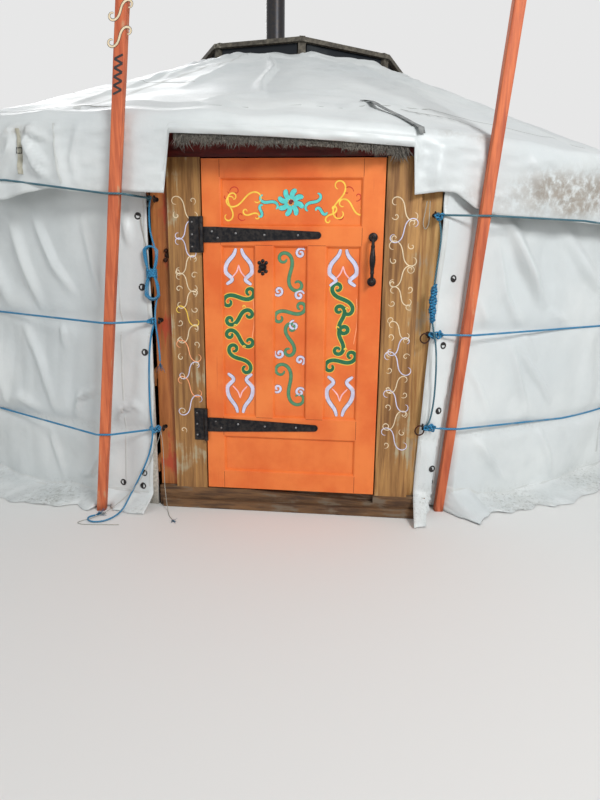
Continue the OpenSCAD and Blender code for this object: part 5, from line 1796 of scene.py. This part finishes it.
on_prop = {"y": 0.0, "body": "tent", "to_world": on_left_prop}
zigzag = [(0.016 * (-1) ** k, 1.925 - 0.0155 * k) for k in range(10)]
for start, end in zip(zigzag, zigzag[1:]):
    stroke(even_line([start, end], 0.004), 0.0085, "black", blunt=0.9, **on_prop)
for z in (1.985, 2.075, 2.165, 2.255, 2.345):
    edged(place(s_scroll(0.8), 0.0, z, 0.080, 76, True), 0.0075, "chalk", "black", 0.0035, **on_prop)
for (tone, body), shape in STROKES.items():
    piece = shape.make("ornament_%s_%s" % (body, tone), PAINTS[tone])
    settle(piece, body, "orange_wood" if body == "door" else "frame_wood")
print("strokes in", len(STROKES), "colours")

# %% [markdown]
# ## Straps on the cover
# A loose strap of webbing lies on the roof, and a short one with a buckle hangs
# on the valance. A strap is a flat profile carried along a line on the cover.
# Its ribs run across it, so their pattern reads the strap's own map.

# %% Straps
STRAP_ACROSS = np.array([0.9, 0.42, 0.0])


def band(name, path, width, thickness, finish):
    """A flat strap along a path, whose width lies in one direction throughout."""
    share = np.array([-0.5, -0.25, 0.25, 0.5])[:, None]
    rows = path[None] + share[..., None] * width * unit(STRAP_ACROSS)
    uv = np.stack(np.broadcast_arrays(share * width, run_along(path)[None]), -1)
    piece = solid_cloth(Shape().grid(rows, uv).make(name, finish), thickness, 0)
    return settle(piece, "tent", "cover")


def webbing(name, dark, light):
    f = Finish(name, 0.85)
    uv = f.add("ShaderNodeTexCoord").outputs["UV"]
    rib = f.math("SINE", f.math("MULTIPLY", f.axis("Y", uv), TAU / 0.0022))
    f.colour(f.mix(f.spread(f.noise(30, 4), 0.35, 0.7), dark, light))
    return f.bump((rib, 0.0004))


strap_cloth = webbing("strap_cloth", shade(120, 124, 126), shade(166, 168, 166))
cream_webbing = webbing("cream_webbing", shade(186, 182, 164), shade(216, 212, 196))
strap_line = smooth_line(settled(cover_place(
    [7.3, 7.9, 8.8, 9.8, 10.4], [2.39, 2.45, 2.54, 2.64, 2.715],
    [0.004, 0.016, 0.012, 0.006, 0.006])), 0.012)
strap_line = np.vstack([strap_line, [(0.513, -2.752, 1.684), (0.517, -2.758, 1.660)]])
roof_strap = band("roof_strap", strap_line, 0.030, 0.0025, strap_cloth)
STRAP_AZIMUTH = -24.9
side_line = settled(valance_place(np.full(24, STRAP_AZIMUTH), np.linspace(1.648, 1.462, 24), 0.006))
side_strap = band("valance_strap", side_line, 0.022, 0.002, cream_webbing)
across = 0.279 * np.array([-1, 1, 1, -1, -1])
buckle_line = settled(valance_place(STRAP_AZIMUTH + across, [1.548, 1.548, 1.570, 1.570, 1.548], 0.011))
settle(Shape().tube(buckle_line, 0.0022, 6).make("strap_buckle", black_iron), "tent", "ironwork")
print("straps:", roof_strap.name, side_strap.name)

# %% [markdown]
# ## Rings and small castings
# Two rusty rings sit at the right eyes, a catch on the post and a small flower
# of six petals on the leaf.

# %% Rings and castings
rust = iron("rust", shade(84, 48, 34), 0.8, 0.0006)
rings = Shape()
turn = np.linspace(0, TAU, 33)
for z, tilt in ((0.838, 0.3), (0.424, -0.2)):
    rings.tube(np.stack([0.580 + 0.021 * np.cos(turn), -2.738 + 0.006 * np.cos(turn + tilt),
                         z + 0.021 * np.sin(turn)], 1), 0.0034, 8)
settle(rings.make("rust_rings", rust), "tent", "ring_iron")
catch = Shape()
for x, z, radius in ((-0.566, 1.196, 0.010), (-0.560, 1.176, 0.013), (-0.570, 1.155, 0.010)):
    dome(catch, x, 0.0300, z, radius, 0.012, 10)
settle(catch.make("post_catch", rust), "tent", "ring_iron")
petals = Shape()
for dx, dz in ((-0.015, 0.018), (0.015, 0.018), (-0.014, -0.018), (0.014, -0.018), (0, 0.026),
               (0, -0.028)):
    dome(petals, -0.126 + dx, -0.0002, 1.130 + dz, 0.0085, 0.0045, 10)
settle(petals.make("knocker_petals", black_iron), "door", "ironwork")
print("petals:", len(petals.points))

# %% [markdown]
# ## Props
# The props are poles squared with an axe, a little thinner at the foot. In
# section each is a superellipse, a square with soft corners. It replaces the
# sharp square solid, and its front face stays in the same plane.

# %% Props
def pole(name, foot, lean, front, top=2.7435, rows=60, sides=28):
    """A squared pole. Half its width is 20.5 mm at the foot and 24.5 mm at the top.
    In section, cosine and sine of the turn are raised to the power 0.28."""
    z = np.concatenate([[0.0004], np.linspace(0.0004, top, rows), [top]])
    half = 0.0205 + 0.004 * z / top + 0.0004 * ripple(z, 0 * z, 61, 0.3)
    half[[0, -1]] = 0
    turn = np.arange(sides) * TAU / sides
    across, deep = (np.sign(w) * np.abs(w) ** 0.28 for w in (np.cos(turn), np.sin(turn)))
    middle_y = front + half - PROP_RAKE * z
    points = np.stack([foot + lean * z[:, None] + half[:, None] * across,
                       middle_y[:, None] + half[:, None] * deep,
                       np.repeat(z[:, None], sides, 1)], -1)
    piece = Shape().grid(points, wrap=True, flip=True).make(name + "_pole", woods["prop_wood"])
    return settle(piece, "tent", "prop_wood", name)


for name, foot, lean, front in (("left_prop", -0.890, 0.1139, -2.6850),
                                ("right_prop", 0.712, 0.0734, -2.6574)):
    print(pole(name, foot, lean, front).name, "stands for", name)

# %% [markdown]
# ## Knots at the eyes
# A knot here is a trefoil, the simplest closed knot, flattened against the
# wall. The plait in the right rope is a line that swings once to the side while
# it swings twice in depth, so it crosses itself like a chain of loops.

# %% Knots
def tie_knots(name, places):
    """Bulky knots: (sin t + 2 sin 2t, sin 3t, cos t - 2 cos 2t), scaled and
    turned about the outward direction."""
    t = np.linspace(0, TAU, 64)
    across, up = 1.2 * (np.sin(t) + 2 * np.sin(2 * t)), 0.8 * (np.cos(t) - 2 * np.cos(2 * t))
    shape = Shape()
    for x, y, z, size, tilt in places:
        flat = size * turned(across, up, tilt) + [x, z]
        path = np.stack([flat[:, 0], y + 1.3 * size * np.sin(3 * t), flat[:, 1]], 1)
        shape.tube(path, KNOT_ROPE_R, 8)
    return settle(shape.make(name, rope_blue), "tent", "rope_blue")


tie_knots("right_eye_knots", [
    (0.617, -2.738, 0.853, 0.0062, 0.2), (0.645, -2.735, 0.853, 0.0052, 1.3),
    (0.620, -2.734, 0.436, 0.0062, 0.5), (0.642, -2.726, 0.434, 0.0048, 1.8),
    (0.610, -2.742, 1.343, 0.0058, 0.1)])
tie_knots("left_eye_knots", [
    (-0.626, -2.633, 0.889, 0.0052, 0.4), (-0.622, -2.628, 0.385, 0.0056, 0.9),
    (-0.640, -2.634, 0.386, 0.0046, 2.0)])
plait_turn = np.linspace(0, 12 * TAU, 12 * 20)
plait_run = np.linspace(0, 1, len(plait_turn))
tail_line = cord_line(RIGHT_TAIL, 5)
plait_z = 1.065 - 0.155 * plait_run + 0.004 * np.sin(2 * plait_turn)
order = np.argsort(tail_line[:, 2])
plait_x, plait_y = (np.interp(plait_z, tail_line[order, 2], tail_line[order, k]) for k in (0, 1))
swell = 0.6 + 0.5 * np.sin(math.pi * plait_run)
plait = np.stack([plait_x + swell * (0.011 * np.sin(plait_turn) + 0.003 * np.sin(3.3 * plait_turn)),
                  plait_y - 0.010 - 0.007 * np.sin(2 * plait_turn + 0.5), plait_z], 1)
settle(Shape().tube(plait, 0.0042, 8).make("right_tail_plait", rope_blue), "tent", "rope_blue")

print("the plait is", round(line_length(plait), 2), "m of line")

# %% [markdown]
# ## The handle's grip
# The grip swells in the middle and has a bead at each end. It is a tube whose
# radius changes along it.

# %% Grip
grip_z = np.linspace(-0.058, 0.058, 25)
grip_r = 0.0075 + 0.0055 * np.cos(math.pi * grip_z / 0.116) ** 2 + 0.0015 * (np.abs(grip_z) > 0.05)
grip_line = at_door(np.stack([0 * grip_z + HANDLE_X, 0 * grip_z - 0.042, HANDLE_Z + grip_z], 1))
settle(Shape().tube(grip_line, grip_r, 16).make("handle_grip", black_iron), "door", "ironwork")
print("the grip is", round(2 * grip_r.max() / MM), "mm thick")

# %% [markdown]
# ## Floor and backdrop
# The tent stands on plain pale paper. The background is white wherever the
# camera or a reflection meets it, but it lights the scene with less than half
# of that, because all of it would wash out the shadows of the folds.

# %% Stage
PAPER = 60


def stage_floor():
    mesh = bpy.data.meshes.new("stage_floor")
    mesh.from_pydata([(x * PAPER, y * PAPER, -0.001) for x, y in ((-1, -1), (1, -1), (1, 1), (-1, 1))],
                     [], [(0, 1, 2, 3)])
    floor = bpy.data.objects.new("stage_floor", mesh)
    bpy.context.scene.collection.objects.link(floor)
    mesh.materials.append(Finish("stage_paper", 0.9).colour(shade(228, 228, 226)).material)


def pale_world(strength, seen):
    """A background that lights with one strength and is seen with another."""
    world = bpy.data.worlds.new("pale_world")
    world.use_nodes = True
    bpy.context.scene.world = world
    add, link = world.node_tree.nodes.new, world.node_tree.links.new
    lit = world.node_tree.nodes["Background"]
    lit.inputs["Color"].default_value = (0.97, 0.985, 1.0, 1)
    lit.inputs["Strength"].default_value = strength
    plain = add("ShaderNodeBackground")
    plain.inputs["Strength"].default_value = seen
    path = add("ShaderNodeLightPath")
    looks = path.outputs["Is Camera Ray"]
    for ray in ("Is Glossy Ray", "Is Transmission Ray"):
        either = add("ShaderNodeMath")
        either.operation = "MAXIMUM"
        link(looks, either.inputs[0])
        link(path.outputs[ray], either.inputs[1])
        looks = either.outputs[0]
    choose = add("ShaderNodeMixShader")
    for socket, source in zip(choose.inputs, (looks, lit.outputs[0], plain.outputs[0])):
        link(source, socket)
    link(choose.outputs[0], world.node_tree.nodes["World Output"].inputs["Surface"])


stage_floor()
pale_world(0.40, 1.0)
print("the paper is", 2 * PAPER, "m wide")

# %% [markdown]
# ## Light
# A large soft panel stands high to the right of the door, where the light in the
# picture comes from. A weak one fills the shadows from the left, and one behind
# the tent lights the back of the roof.

# %% Light
def soft_light(name, place, aim, size, watts):
    lamp = bpy.data.lights.new(name, "AREA")
    lamp.size = size
    lamp.energy = watts
    light = bpy.data.objects.new(name, lamp)
    bpy.context.scene.collection.objects.link(light)
    turn = (Vector(aim) - Vector(place)).to_track_quat("-Z", "Y")
    light.matrix_world = Matrix.Translation(place) @ turn.to_matrix().to_4x4()


soft_light("sky_panel", (2.8, -7.6, 4.6), (0, -1, 0.8), 1.8, 300)
soft_light("left_panel", (-5.0, -6.4, 2.6), (-0.5, -1, 0.8), 2.4, 45)
soft_light("back_panel", (-4.0, 7.0, 6.5), (0, 0, 1.0), 4.0, 230)
bpy.context.scene.view_settings.view_transform = "Standard"
print("lights:", len(bpy.data.lights))
